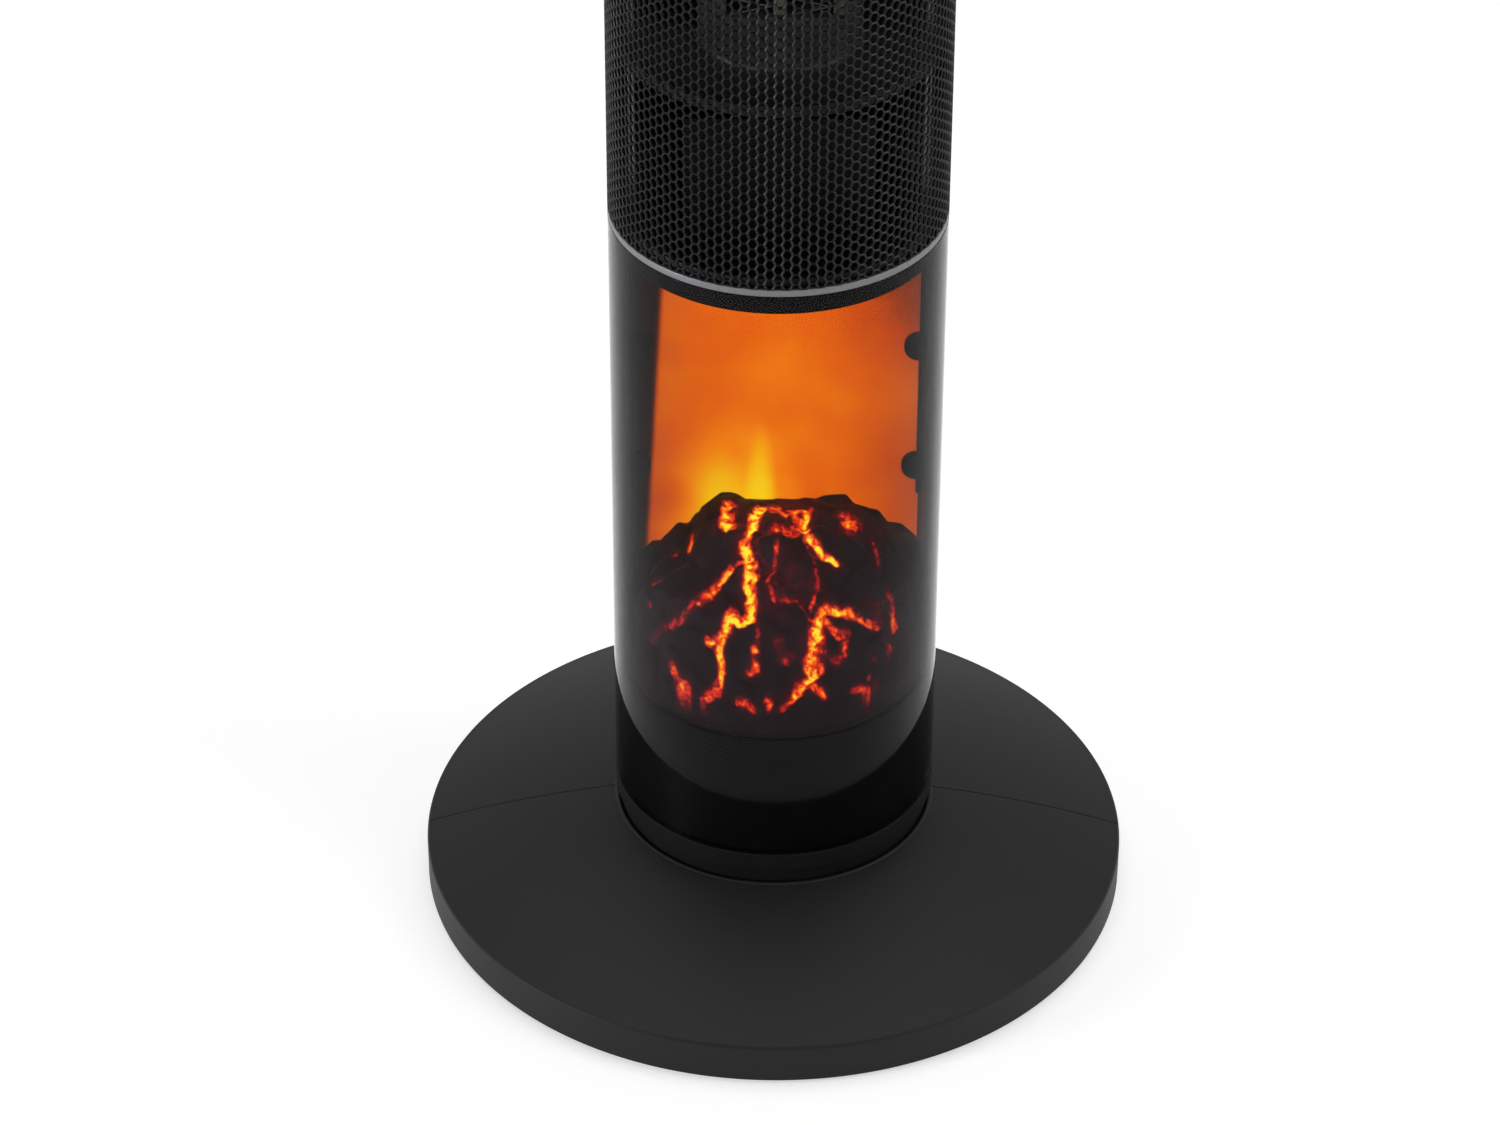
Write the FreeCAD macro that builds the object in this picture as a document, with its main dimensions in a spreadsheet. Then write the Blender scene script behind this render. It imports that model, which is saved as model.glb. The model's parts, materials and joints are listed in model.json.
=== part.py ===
import FreeCAD, Part
import math
import os
import re

import Sketcher

# A ceramic tower fan heater: a clear lower tube with a lit ember scene, a perforated upper sleeve
# round the heater and blower, and a two-piece domed base that the tower turns on.
# Millimetres. +Z is up, the origin is on the floor under the middle of the base, the front faces -Y.

Vector = FreeCAD.Vector
Rotation = FreeCAD.Rotation
Placement = FreeCAD.Placement

# Driving sizes, one cell of the sheet each
SIZES = {
    # Base shells
    "base_radius": 143.5,
    "base_wall": 2.6,
    "base_rim_height": 18.3,
    "base_rim_round": 1.5,
    "skirt_gap": 1.5,
    "seam_gap": 0.3,
    "lip_radius": 68.2,
    "lip_height": 37.6,
    "lip_slope": 1.4,
    "shelf_radius": 86,
    "shelf_depth": 7.4,
    "rib_thickness": 2,
    # Feet and base screws
    "foot_radius": 8,
    "foot_taper": 1,
    "foot_height": 4,
    "foot_inset": 10.9,
    "foot_boss_wall": 1.5,
    "plate_thickness": 2,
    "screw_radius": 1.6,
    "screw_grip": 3.4,
    "screw_head_radius": 3.3,
    "screw_head_height": 2.2,
    # Cord gland in the rear of the skirt
    "cord_bore_radius": 3.7,
    "cord_height": 8.5,
    "gland_wall": 1.6,
    "gland_length": 12,
    "gland_flange": 2.2,
    # Pivot between base and tower
    "neck_radius": 63,
    "neck_wall": 2.5,
    "neck_gap": 0.8,
    "neck_reveal": 6.4,
    "hub_flange": 3,
    "hub_flange_inset": 3,
    "hub_deck": 3,
    "spindle_radius": 13,
    "spindle_wall": 3,
    "spindle_rise": 1,
    "washer_thickness": 1.2,
    "washer_inset": 8,
    "washer_width": 22,
    "turntable_thickness": 4,
    "turntable_hub_wall": 7,
    "turntable_hub_height": 10,
    # Swing drive
    "gear_module": 1,
    "gear_thickness": 6,
    "gear_play": 0.1,
    "swing_motor_radius": 14,
    "swing_motor_height": 19,
    "swing_shaft_radius": 2.5,
    "swing_bracket_sheet": 2,
    "swing_bracket_margin": 5,
    # Clearances: turning parts, shafts, seated parts
    "run_gap": 0.3,
    "shaft_gap": 0.05,
    "fit_gap": 0.4,
    # Lower tower
    "tower_radius": 65,
    "foot_ring_height": 8,
    "foot_ring_wall": 2.8,
    "foot_ring_ledge": 6,
    "tube_length": 262,
    "tube_wall": 2.5,
    "plinth_height": 55,
    "plinth_wall": 2,
    "plinth_deck": 2.5,
    "plinth_opening": 30,
    "liner_wall": 1.5,
    "liner_forward": 17,
    "screen_offset": 18,
    "screen_thickness": 1.5,
    "rail_lap": 1.2,
    "rail_depth": 2.5,
    "clip_radius": 6,
    "lower_clip_height": 78.6,
    "upper_clip_height": 134.6,
    # Ember bed
    "mound_offset": 12,
    "crater_radius": 28,
    "crater_height": 66,
    "crater_dip": 1.5,
    "mound_radius": 75,
    "mound_toe": 6,
    "shoulder_radius": 58,
    "shoulder_drop": 20,
    "cavity_radius": 20,
    "cavity_top_radius": 9,
    "cavity_height": 48,
    "cavity_offset": 8,
    # Ember and flame lights
    "board_thickness": 1.6,
    "ember_board_radius": 42,
    "ember_post_length": 8,
    "ember_post_radius": 3,
    "led_radius": 2.5,
    "led_height": 5,
    "ember_led_circle": 18,
    "strip_width": 10,
    "strip_length": 150,
    "strip_spread": 45,
    "strip_gap": 5,
    # Flicker drive behind the screen
    "flicker_motor_radius": 15,
    "flicker_motor_height": 18,
    "flicker_shaft_radius": 2,
    "flicker_core_radius": 4,
    "flicker_vane_reach": 13,
    "flicker_vane_sheet": 1,
    "flicker_post_radius": 6,
    "flicker_post_length": 20,
    "flicker_end_play": 1,
    # Middle deck and trim ring
    "bezel_depth": 9,
    "mid_deck": 3,
    "collar_height": 6,
    "collar_wall": 2.2,
    "wire_hole_radius": 8,
    "silver_ring_height": 3,
    "silver_ring_chamfer": 0.5,
    # Upper tower
    "grille_length": 418,
    "grille_wall": 1.2,
    "grille_seam": 0.4,
    "grille_border": 5,
    "grille_web": 3.2,
    "post_thickness": 3,
    "post_width": 12,
    "post_inset": 2.5,
    "deck_inset": 2.5,
    "blower_deck_rise": 73.5,
    "blower_deck_sheet": 3,
    "deck_rim_wall": 1.5,
    "deck_rim_height": 1.5,
    "upper_deck_sheet": 3,
    "upper_deck_drop": 6,
    "upper_collar_rise": 4,
    "filter_wall": 1.2,
    # Blower
    "blower_radius": 20,
    "blower_length": 240,
    "blower_rear_room": 5,
    "blower_end_gap": 5,
    "blade_depth": 5,
    "blade_sheet": 0.8,
    "blade_arc_radius": 4,
    "blade_lead": 8,
    "end_disc": 2,
    "blower_shaft_radius": 3,
    "blower_motor_radius": 22,
    "blower_motor_height": 34,
    "blower_motor_boss": 9,
    "blower_motor_boss_height": 3,
    "bush_wall": 3,
    "bush_flange": 1.5,
    "bush_flange_width": 3,
    "scroll_wall": 1.2,
    "scroll_radius": 33,
    "scroll_start": 12,
    "scroll_start_gap": 1,
    "tongue_radius": 30,
    "tongue_gap": 4,
    "tongue_rise": 6,
    # Heater
    "heater_gap": 3.9,
    "heater_depth": 12,
    "heater_half_width": 30,
    "heater_frame_bar": 5,
    "ceramic_width": 5,
    "ceramic_depth": 8,
    "fin_sheet": 0.5,
    "fin_pitch": 7,
    "shield_radius": 32,
    "shield_sheet": 1.5,
    "cutout_radius": 7,
    "cutout_height": 5,
    "cutout_rise": 70,
    # Power board in the middle bay
    "power_board_width": 70,
    "power_board_height": 52,
    "power_board_offset": 24,
    "relay_width": 15,
    "relay_depth": 12,
    "relay_height": 18,
    "relay_margin": 15,
    "relay_pitch": 22.5,
    "capacitor_radius": 6,
    "capacitor_height": 16,
    "tilt_switch_side": 12,
    "tilt_switch_height": 14,
    "tilt_switch_offset": 22,
    # Top cap and controls
    "cap_height": 45,
    "cap_wall": 2.5,
    "cap_round": 6,
    "panel_radius": 50,
    "panel_thickness": 2.5,
    "panel_ledge": 4,
    "ledge_thickness": 2,
    "button_radius": 6.2,
    "button_proud": 1.2,
    "button_travel": 1,
    "button_flange": 1.5,
    "button_flange_width": 1.6,
    "button_stem_radius": 2,
    "button_circle": 30,
    "button_spacing": 34,
    "control_board_radius": 46,
    "control_board_drop": 14,
    "control_post_radius": 2.5,
    "control_post_circle": 42,
    "tact_side": 6,
    "tact_height": 4,
    "display_width": 34,
    "display_depth": 14,
    "display_offset": 10,
    "display_lens": 1.2,
}

# Counts of what repeats
RIBS_PER_HALF = 6
FEET_PER_HALF = 4
FIXED_GEAR_TEETH = 48
SECTOR_TEETH = 15
PINION_TEETH = 16
EMBER_LEDS = 6
EMBER_POSTS = 3
STRIP_LEDS = 6
FLICKER_VANES = 6
GRILLE_ROWS = 20
PLAIN_REAR_ROWS = 4
GRILLE_COLUMNS = 12
BLADES = 20
RELAYS = 2
CONTROL_POSTS = 3
BUTTONS = ("timer", "flame", "power", "heat", "swing")

# Angles in plan, in degrees
HALF_TURN = 180
FIRST_RIB = 10
FOOT_STEP = HALF_TURN / FEET_PER_HALF
FIRST_FOOT = FOOT_STEP / 2
COLUMN_STEP = 14
FIRST_CONTROL_POST = 30
FRONT = -90

doc = FreeCAD.newDocument("tower_fan_heater")
sheet = doc.addObject("Spreadsheet::Sheet", "dims")
for row, (name, amount) in enumerate(SIZES.items(), start=1):
    sheet.set(f"A{row}", name)
    sheet.set(f"B{row}", str(amount))
    sheet.setAlias(f"B{row}", name)
doc.recompute()

pieces = []


def bound(text):
    """The text with the name of each size turned into its cell of the sheet."""
    return re.sub(r"[a-z_]+", lambda word: f"dims.{word[0]}" if word[0] in SIZES else word[0], text)


def value(text):
    """What a text of sizes comes to now."""
    return float(sheet.evalExpression(bound(text)))


def bind(item, prop, text):
    item.setExpression(prop, bound(text))


def piece(item, label):
    """Names a finished sub-part and keeps it for writing."""
    item.Label = label
    pieces.append(item)
    return item


def polar(radius, angle):
    """The x and y of a place on a circle about the tower's axis."""
    return f"({radius}) * cos({angle})", f"({radius}) * sin({angle})"


def place(item, x="0", y="0", z="0"):
    for axis, text in zip("xyz", (x, y, z)):
        bind(item, f"Placement.Base.{axis}", text)
    return item


# Heights above the floor, lowest first
PLATE_TOP = "(foot_height + plate_thickness)"
SHELF = "(lip_height - shelf_depth)"
TOWER_FOOT = "(lip_height + neck_reveal)"
TURNTABLE_TOP = f"({TOWER_FOOT} + turntable_thickness)"
RING_TOP = f"({TOWER_FOOT} + foot_ring_height)"
GEAR_FOOT = f"({TOWER_FOOT} + turntable_hub_height + run_gap)"
PLINTH_TOP = f"({RING_TOP} + plinth_height)"
TUBE_TOP = f"({RING_TOP} + tube_length)"
MID_DECK_FOOT = f"({TUBE_TOP} - mid_deck)"
LINER_TOP = f"({TUBE_TOP} - bezel_depth)"
GRILLE_FOOT = f"({TUBE_TOP} + silver_ring_height)"
BLOWER_DECK_TOP = f"({GRILLE_FOOT} + blower_deck_rise)"
BLOWER_DECK_FOOT = f"({BLOWER_DECK_TOP} - blower_deck_sheet)"
BLOWER_FOOT = f"({BLOWER_DECK_TOP} + blower_end_gap)"
TOP_PLATE_FOOT = f"({BLOWER_FOOT} + blower_length + blower_end_gap)"
GRILLE_TOP = f"({GRILLE_FOOT} + grille_length)"
UPPER_DECK_FOOT = f"({GRILLE_TOP} - upper_deck_drop)"
TOP = f"({GRILLE_TOP} + cap_height)"
PANEL_FOOT = f"({TOP} - panel_thickness)"
CONTROL_BOARD_TOP = f"({PANEL_FOOT} - control_board_drop)"

# Radii and places in plan
SKIRT_INNER = "(base_radius - base_wall)"
FOOT_CIRCLE = f"({SKIRT_INNER} - foot_radius - foot_inset)"
PLATE_SCREW_CIRCLE = f"({FOOT_CIRCLE} - foot_radius - foot_boss_wall - screw_head_radius)"
HOLE = "(neck_radius + neck_gap)"
HUB_SCREW_CIRCLE = f"(({HOLE} + shelf_radius - hub_flange_inset) / 2)"
INNER = "(tower_radius - tube_wall - fit_gap)"
LINER_INNER = f"({INNER} - liner_wall)"
SCREEN_BACK = "(screen_offset + screen_thickness)"
SCREEN_HALF = f"sqrt(({LINER_INNER} - run_gap)^2 - {SCREEN_BACK}^2)"
RAIL_OUTER = f"sqrt(({LINER_INNER} - run_gap)^2 - screen_offset^2)"
FLICKER_Y = f"(({SCREEN_BACK} + {LINER_INNER}) / 2)"
DECK = "(tower_radius - grille_wall - fit_gap - deck_inset)"
POST = f"({INNER} - collar_wall - post_inset - post_thickness)"
BLOWER_Y = f"({DECK} - blower_rear_room - blower_radius)"
HEATER_BACK = f"({BLOWER_Y} - blower_radius - heater_gap)"
HEATER_FRONT = f"({HEATER_BACK} - heater_depth)"
GEAR_CENTRES = f"(gear_module * {FIXED_GEAR_TEETH + PINION_TEETH} / 2 + gear_play)"


# Sketches and features

def new_body(name):
    return doc.addObject("PartDesign::Body", name)


def origin_feature(body, role):
    return next(item for item in body.Origin.OriginFeatures if item.Role == role)


def new_sketch(body, plane, lift="0", turn=0):
    """A sketch on an origin plane of its body, lifted along the plane's normal and turned about Z."""
    sketch = body.newObject("Sketcher::SketchObject", "sketch")
    sketch.AttachmentSupport = (origin_feature(body, plane), [""])
    sketch.MapMode = "FlatFace"
    if turn:
        sketch.AttachmentOffset = Placement(Vector(), Rotation(Vector(0, 1, 0), turn))
    if lift != "0":
        bind(sketch, "AttachmentOffset.Base.z", lift)
    return sketch


def fix_point(sketch, curve, end, x, y):
    """Ties a point of the sketch to a place given in sizes."""
    for axis, kind, text in ((-2, "DistanceX", x), (-1, "DistanceY", y)):
        if text == "0":
            sketch.addConstraint(Sketcher.Constraint("PointOnObject", curve, end, axis))
            continue
        index = sketch.addConstraint(Sketcher.Constraint(kind, -1, 1, curve, end, value(text)))
        bind(sketch, f"Constraints[{index}]", text)


def fix_radius(sketch, curve, text):
    index = sketch.addConstraint(Sketcher.Constraint("Radius", curve, value(text)))
    bind(sketch, f"Constraints[{index}]", text)


def arc_radius(first, last, text):
    """The radius that a text of sizes gives, or of the arc whose centre is on the vertical axis."""
    if text != "on axis":
        return value(text)
    chord = last - first
    middle = (first + last) * 0.5
    height = middle.y + middle.x * chord.x / chord.y
    return first.distanceToPoint(Vector(0, height, 0))


def arc_between(first, last, radius, leftward):
    """The shorter arc from first to last, which turns left or right on its way."""
    chord = last - first
    reach = math.sqrt(radius ** 2 - (chord.Length / 2) ** 2)
    side = Vector(-chord.y, chord.x, 0).normalize() * (reach if leftward else -reach)
    centre = (first + last) * 0.5 + side
    ends = (first, last) if leftward else (last, first)
    angles = [math.atan2(point.y - centre.y, point.x - centre.x) for point in ends]
    return Part.ArcOfCircle(Part.Circle(centre, Vector(0, 0, 1), radius), *angles)


def outline(sketch, points):
    """A closed outline. A point is x, y and, where an arc leads on from it, its radius and turn."""
    places = [Vector(value(point[0]), value(point[1]), 0) for point in points]
    ends = []
    for number, point in enumerate(points):
        first = places[number]
        last = places[(number + 1) % len(places)]
        if len(point) == 2:
            ends.append((sketch.addGeometry(Part.LineSegment(first, last)), 1, 2))
            continue
        leftward = point[3] == "left"
        arc = arc_between(first, last, arc_radius(first, last, point[2]), leftward)
        ends.append((sketch.addGeometry(arc), 1, 2) if leftward else (sketch.addGeometry(arc), 2, 1))
    for number, (curve, _, end) in enumerate(ends):
        following, following_start, _ = ends[(number + 1) % len(ends)]
        sketch.addConstraint(Sketcher.Constraint("Coincident", curve, end, following, following_start))
    for (curve, start, _), point in zip(ends, points):
        fix_point(sketch, curve, start, point[0], point[1])
        if len(point) == 4 and point[2] == "on axis":
            sketch.addConstraint(Sketcher.Constraint("PointOnObject", curve, 3, -2))
        elif len(point) == 4:
            fix_radius(sketch, curve, point[2])


def circle(sketch, x, y, radius):
    shape = Part.Circle(Vector(value(x), value(y), 0), Vector(0, 0, 1), value(radius))
    curve = sketch.addGeometry(shape)
    fix_point(sketch, curve, 3, x, y)
    fix_radius(sketch, curve, radius)


def rectangle(sketch, left, front, right, rear):
    outline(sketch, [(left, front), (right, front), (right, rear), (left, rear)])


def turned(body, points, angle=360):
    """Adds the outline, given as radius and height, turned about the body's Z axis."""
    sketch = new_sketch(body, "XZ_Plane")
    outline(sketch, points)
    feature = body.newObject("PartDesign::Revolution", "turned")
    feature.Profile = sketch
    feature.ReferenceAxis = (sketch, ["V_Axis"])
    feature.Angle = angle
    return body


def extruded(body, kind, sketch, length, symmetric=False, reverse=False):
    feature = body.newObject(f"PartDesign::{kind}", kind.lower())
    feature.Profile = sketch
    bind(feature, "Length", length)
    feature.SideType = "Symmetric" if symmetric else "One side"
    feature.Reversed = reverse
    return feature


def repeat_round(body, feature, count, angle=360):
    """Copies the body's last feature round the Z axis."""
    pattern = body.newObject("PartDesign::PolarPattern", "pattern")
    pattern.Originals = [feature]
    pattern.Axis = (origin_feature(body, "Z_Axis"), [""])
    pattern.Angle = angle
    pattern.Occurrences = count
    body.Tip = pattern


def block(left, front, foot, width, depth, height):
    box = doc.addObject("Part::Box", "block")
    for prop, text in (("Length", width), ("Width", depth), ("Height", height)):
        bind(box, prop, text)
    return place(box, left, front, foot)


def rod(x, y, foot, radius, height):
    cylinder = doc.addObject("Part::Cylinder", "rod")
    bind(cylinder, "Radius", radius)
    bind(cylinder, "Height", height)
    return place(cylinder, x, y, foot)


def combined(kind, base, tool):
    """Part::Cut, Part::Fuse or Part::Common of two shapes."""
    result = doc.addObject(f"Part::{kind}", kind.lower())
    result.Base = base
    result.Tool = tool
    return result


def group(members):
    compound = doc.addObject("Part::Compound", "group")
    compound.Links = members
    return compound


def tube_shell(outer, inner, foot, height):
    return combined("Cut", rod("0", "0", foot, outer, height), rod("0", "0", foot, inner, height))


# Base

DOME_INNER = ("(lip_radius + lip_slope)", "(lip_height - lip_slope)")
DOME_OUTER = ("(base_radius - base_rim_round)", "base_rim_height")


def dome_height(radius, depth):
    """Height of the base's spherical top at a radius, at a depth below its skin."""
    (inner, high), (outer, low) = DOME_INNER, DOME_OUTER
    centre = f"(({inner}^2 + {high}^2 - {outer}^2 - {low}^2) / (2 * ({high} - {low})))"
    skin = f"sqrt({inner}^2 + ({high} - {centre})^2)"
    return f"({centre} + sqrt(({skin} - {depth})^2 - ({radius})^2))"


def add_ribs(body, inner, outer, thickness, first_angle, count):
    """Radial ribs from the base plate up into the middle of the dome's wall."""
    middle = "(base_wall / 2)"
    sketch = new_sketch(body, "XZ_Plane", turn=first_angle)
    outline(sketch, [
        (inner, PLATE_TOP),
        (outer, PLATE_TOP),
        (outer, dome_height(outer, middle), "on axis", "left"),
        (inner, dome_height(inner, middle)),
    ])
    rib = extruded(body, "Pad", sketch, thickness, symmetric=True)
    repeat_round(body, rib, count, HALF_TURN - 2 * first_angle)


def screw_holes(body, radius, foot, depth, screw_circle, count, reverse=True):
    """Round holes beside the feet's angles, upward from a level unless it is the other way."""
    sketch = new_sketch(body, "XY_Plane", lift=foot)
    circle(sketch, *polar(screw_circle, FIRST_FOOT), radius)
    hole = extruded(body, "Pocket", sketch, depth, reverse=reverse)
    repeat_round(body, hole, count, FOOT_STEP * (count - 1))


def base_half(label, half_turn):
    """Half of the domed base, built behind the seam and then turned and drawn off it."""
    body = new_body(label)
    turned(body, [
        (HOLE, SHELF),
        ("shelf_radius", SHELF, "on axis", "right"),
        (SKIRT_INNER, dome_height(SKIRT_INNER, "base_wall")),
        (SKIRT_INNER, "skirt_gap"),
        ("base_radius", "skirt_gap"),
        ("base_radius", "base_rim_height - base_rim_round", "base_rim_round", "left"),
        (*DOME_OUTER, "on axis", "left"),
        DOME_INNER,
        ("lip_radius", "lip_height"),
        (HOLE, "lip_height"),
    ], HALF_TURN)
    rib_end = f"({SKIRT_INNER} + base_wall / 2)"
    add_ribs(body, "shelf_radius", rib_end, "rib_thickness", FIRST_RIB, RIBS_PER_HALF)
    boss = "(foot_radius + foot_boss_wall)"
    boss_start = f"({PLATE_SCREW_CIRCLE} - screw_head_radius - foot_boss_wall)"
    add_ribs(body, boss_start, f"({FOOT_CIRCLE} + {boss})", f"2 * {boss}", FIRST_FOOT, FEET_PER_HALF)
    for level, screw_circle in ((SHELF, HUB_SCREW_CIRCLE), (PLATE_TOP, PLATE_SCREW_CIRCLE)):
        depth = "screw_grip + run_gap"
        screw_holes(body, "screw_radius + shaft_gap", level, depth, screw_circle, FEET_PER_HALF)
    body.Placement = Placement(Vector(), Rotation(Vector(0, 0, 1), half_turn))
    place(body, y="-seam_gap / 2" if half_turn else "seam_gap / 2")
    return piece(body, label)


def base_plate():
    """The flat cover that ties the halves together from below, cut away round the cord gland."""
    body = new_body("base_plate")
    rim = f"({SKIRT_INNER} - fit_gap)"
    turned(body, [("0", "foot_height"), (rim, "foot_height"), (rim, PLATE_TOP), ("0", PLATE_TOP)])
    hole = "screw_radius + fit_gap"
    screw_holes(body, hole, "foot_height", "plate_thickness", PLATE_SCREW_CIRCLE, 2 * FEET_PER_HALF)
    half = "(cord_bore_radius + 2 * gland_wall + run_gap)"
    sketch = new_sketch(body, "XY_Plane", lift="foot_height")
    rectangle(sketch, f"-{half}", "base_radius - gland_length - fit_gap - run_gap", half, "base_radius")
    extruded(body, "Pocket", sketch, "plate_thickness", reverse=True)
    return piece(body, "base_plate")


def cut_cord_notch(body):
    """An arched notch through the rear of the skirt, open at its lower edge."""
    half = "(cord_bore_radius + gland_wall + run_gap)"
    sketch = new_sketch(body, "XZ_Plane")
    outline(sketch, [
        (f"-{half}", "-foot_height"),
        (half, "-foot_height"),
        (half, "cord_height", half, "left"),
        ("0", f"cord_height + {half}", half, "left"),
        (f"-{half}", "cord_height"),
    ])
    extruded(body, "Pocket", sketch, "2 * (base_radius + base_wall)", symmetric=True)


def cord_gland():
    """The bush that the supply lead comes in through, flush with the skirt."""
    body = new_body("cord_gland")
    outer = "(cord_bore_radius + gland_wall)"
    turned(body, [
        ("cord_bore_radius", "0"),
        (outer, "0"),
        (outer, "base_wall + run_gap"),
        (f"{outer} + gland_wall", "base_wall + run_gap"),
        (f"{outer} + gland_wall", "base_wall + run_gap + gland_flange"),
        (outer, "base_wall + run_gap + gland_flange"),
        (outer, "gland_length"),
        ("cord_bore_radius", "gland_length"),
    ])
    body.Placement = Placement(Vector(), Rotation(Vector(1, 0, 0), 90))
    place(body, y="base_radius - fit_gap", z="cord_height")
    return piece(body, "cord_gland")


def half_shift(number):
    """How far a foot or screw lies off the seam with its half, the rear half's being counted first."""
    return "seam_gap / 2" if number < FEET_PER_HALF else "-seam_gap / 2"


def rubber_feet():
    feet = []
    for number in range(2 * FEET_PER_HALF):
        foot = doc.addObject("Part::Cone", "foot")
        bind(foot, "Radius1", "foot_radius - foot_taper")
        bind(foot, "Radius2", "foot_radius")
        bind(foot, "Height", "foot_height")
        x, y = polar(FOOT_CIRCLE, FIRST_FOOT + FOOT_STEP * number)
        feet.append(place(foot, x, f"{y} + {half_shift(number)}"))
    return piece(group(feet), "rubber_feet")


def base_screws():
    """Pan head screws: a ring up through the hub's flange and a ring up through the base plate."""
    screws = []
    rings = (
        (HUB_SCREW_CIRCLE, f"({SHELF} - hub_flange)", "hub_flange"),
        (PLATE_SCREW_CIRCLE, "foot_height", "plate_thickness"),
    )
    for screw_circle, seat, clamped in rings:
        for number in range(2 * FEET_PER_HALF):
            x, y = polar(screw_circle, FIRST_FOOT + FOOT_STEP * number)
            y = f"{y} + {half_shift(number)}"
            shank = rod(x, y, seat, "screw_radius", f"{clamped} + screw_grip")
            head = rod(x, y, f"{seat} - screw_head_height", "screw_head_radius", "screw_head_height")
            screws.append(combined("Fuse", shank, head))
    return piece(group(screws), "base_screws")


def pivot_hub():
    """The fixed neck: a flange under the shelf, a deck for the washer and the hollow spindle."""
    body = new_body("pivot_hub")
    deck_top = f"({TOWER_FOOT} - run_gap - washer_thickness)"
    neck_inner = "(neck_radius - neck_wall)"
    bore = "(spindle_radius - spindle_wall)"
    flange = "(shelf_radius - hub_flange_inset)"
    spindle_top = f"({GEAR_FOOT} + gear_thickness + spindle_rise)"
    turned(body, [
        (bore, f"{deck_top} - hub_deck"),
        (neck_inner, f"{deck_top} - hub_deck"),
        (neck_inner, f"{SHELF} - hub_flange"),
        (flange, f"{SHELF} - hub_flange"),
        (flange, SHELF),
        ("neck_radius", SHELF),
        ("neck_radius", f"{TOWER_FOOT} - run_gap"),
        (neck_inner, f"{TOWER_FOOT} - run_gap"),
        (neck_inner, deck_top),
        ("spindle_radius", deck_top),
        ("spindle_radius", spindle_top),
        (bore, spindle_top),
    ])
    hole = "screw_radius + fit_gap"
    screw_holes(body, hole, SHELF, "hub_flange", HUB_SCREW_CIRCLE, 2 * FEET_PER_HALF, reverse=False)
    return piece(body, "pivot_hub")


def thrust_washer():
    body = new_body("thrust_washer")
    inner = "(spindle_radius + washer_inset)"
    deck_top = f"({TOWER_FOOT} - run_gap - washer_thickness)"
    turned(body, [
        (inner, deck_top),
        (f"{inner} + washer_width", deck_top),
        (f"{inner} + washer_width", f"{TOWER_FOOT} - run_gap"),
        (inner, f"{TOWER_FOOT} - run_gap"),
    ])
    return piece(body, "thrust_washer")


# Swing drive: a fixed toothed sector on the spindle and a pinion that the tower carries round it

PRESSURE_ANGLE = math.radians(20)
ADDENDUM = 0.8
DEDENDUM = 1.1


def gear_outline(teeth, cut_teeth):
    """Involute teeth, as many as are cut lying evenly about the +X axis, and a plain rim for the rest."""
    module = value("gear_module")
    pitch = module * teeth / 2
    base = pitch * math.cos(PRESSURE_ANGLE)
    root = pitch - DEDENDUM * module
    tip = pitch + ADDENDUM * module
    half_tooth = math.pi / (2 * teeth) - value("gear_play") / (2 * pitch)
    lean = math.tan(PRESSURE_ANGLE) - PRESSURE_ANGLE
    flank = []
    for radius in (max(base, root), pitch, tip):
        angle = math.acos(min(1, base / radius))
        flank.append((radius, half_tooth + lean - (math.tan(angle) - angle)))
    if root < base:
        flank.insert(0, (root, flank[0][1]))
    points = []
    for number in range(cut_teeth):
        middle = (number - (cut_teeth - 1) / 2) * 2 * math.pi / teeth
        sides = [(r, middle - a) for r, a in flank] + [(r, middle + a) for r, a in reversed(flank)]
        points += [Vector(r * math.cos(a), r * math.sin(a), 0) for r, a in sides]
    edges = [Part.makeLine(first, last) for first, last in zip(points, points[1:])]
    if cut_teeth == teeth:
        edges.append(Part.makeLine(points[-1], points[0]))
    else:
        far_side = Vector(-root, 0, 0)
        edges.append(Part.Arc(points[-1], far_side, points[0]).toShape())
    return Part.Face(Part.Wire(edges))


def gear(label, teeth, cut_teeth, bore, x):
    solid = gear_outline(teeth, cut_teeth).extrude(Vector(0, 0, value("gear_thickness")))
    solid = solid.cut(Part.makeCylinder(value(bore), value("gear_thickness")))
    item = doc.addObject("Part::Feature", label)
    item.Shape = solid
    item.Placement = Placement(Vector(value(x), 0, value(GEAR_FOOT)), Rotation())
    return piece(item, label)


def swing_shaft():
    """The motor's output shaft, pressed into the pinion."""
    foot = f"({GEAR_FOOT} + run_gap)"
    length = "gear_thickness + swing_bracket_sheet + swing_motor_height / 2"
    return piece(rod(GEAR_CENTRES, "0", foot, "swing_shaft_radius", length), "swing_shaft")


def swing_bracket():
    """A bridge over the gears, on two legs that stand on the turntable."""
    half = "(swing_motor_radius + swing_bracket_margin)"
    plate_foot = f"({GEAR_FOOT} + gear_thickness + spindle_rise + run_gap)"
    leg_height = f"{plate_foot} - {TURNTABLE_TOP}"
    left = f"({GEAR_CENTRES} - swing_motor_radius)"
    width = "2 * swing_motor_radius"
    sheet_size = "swing_bracket_sheet"
    plate = block(left, f"-{half}", plate_foot, width, f"2 * {half}", sheet_size)
    front_leg = block(left, f"-{half}", TURNTABLE_TOP, width, sheet_size, leg_height)
    rear_leg = block(left, f"{half} - {sheet_size}", TURNTABLE_TOP, width, sheet_size, leg_height)
    legs = combined("Fuse", front_leg, rear_leg)
    shaft_hole = rod(GEAR_CENTRES, "0", plate_foot, "swing_shaft_radius + 2 * fit_gap", sheet_size)
    bridge = combined("Cut", combined("Fuse", plate, legs), shaft_hole)
    return piece(bridge, "swing_bracket")


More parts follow.
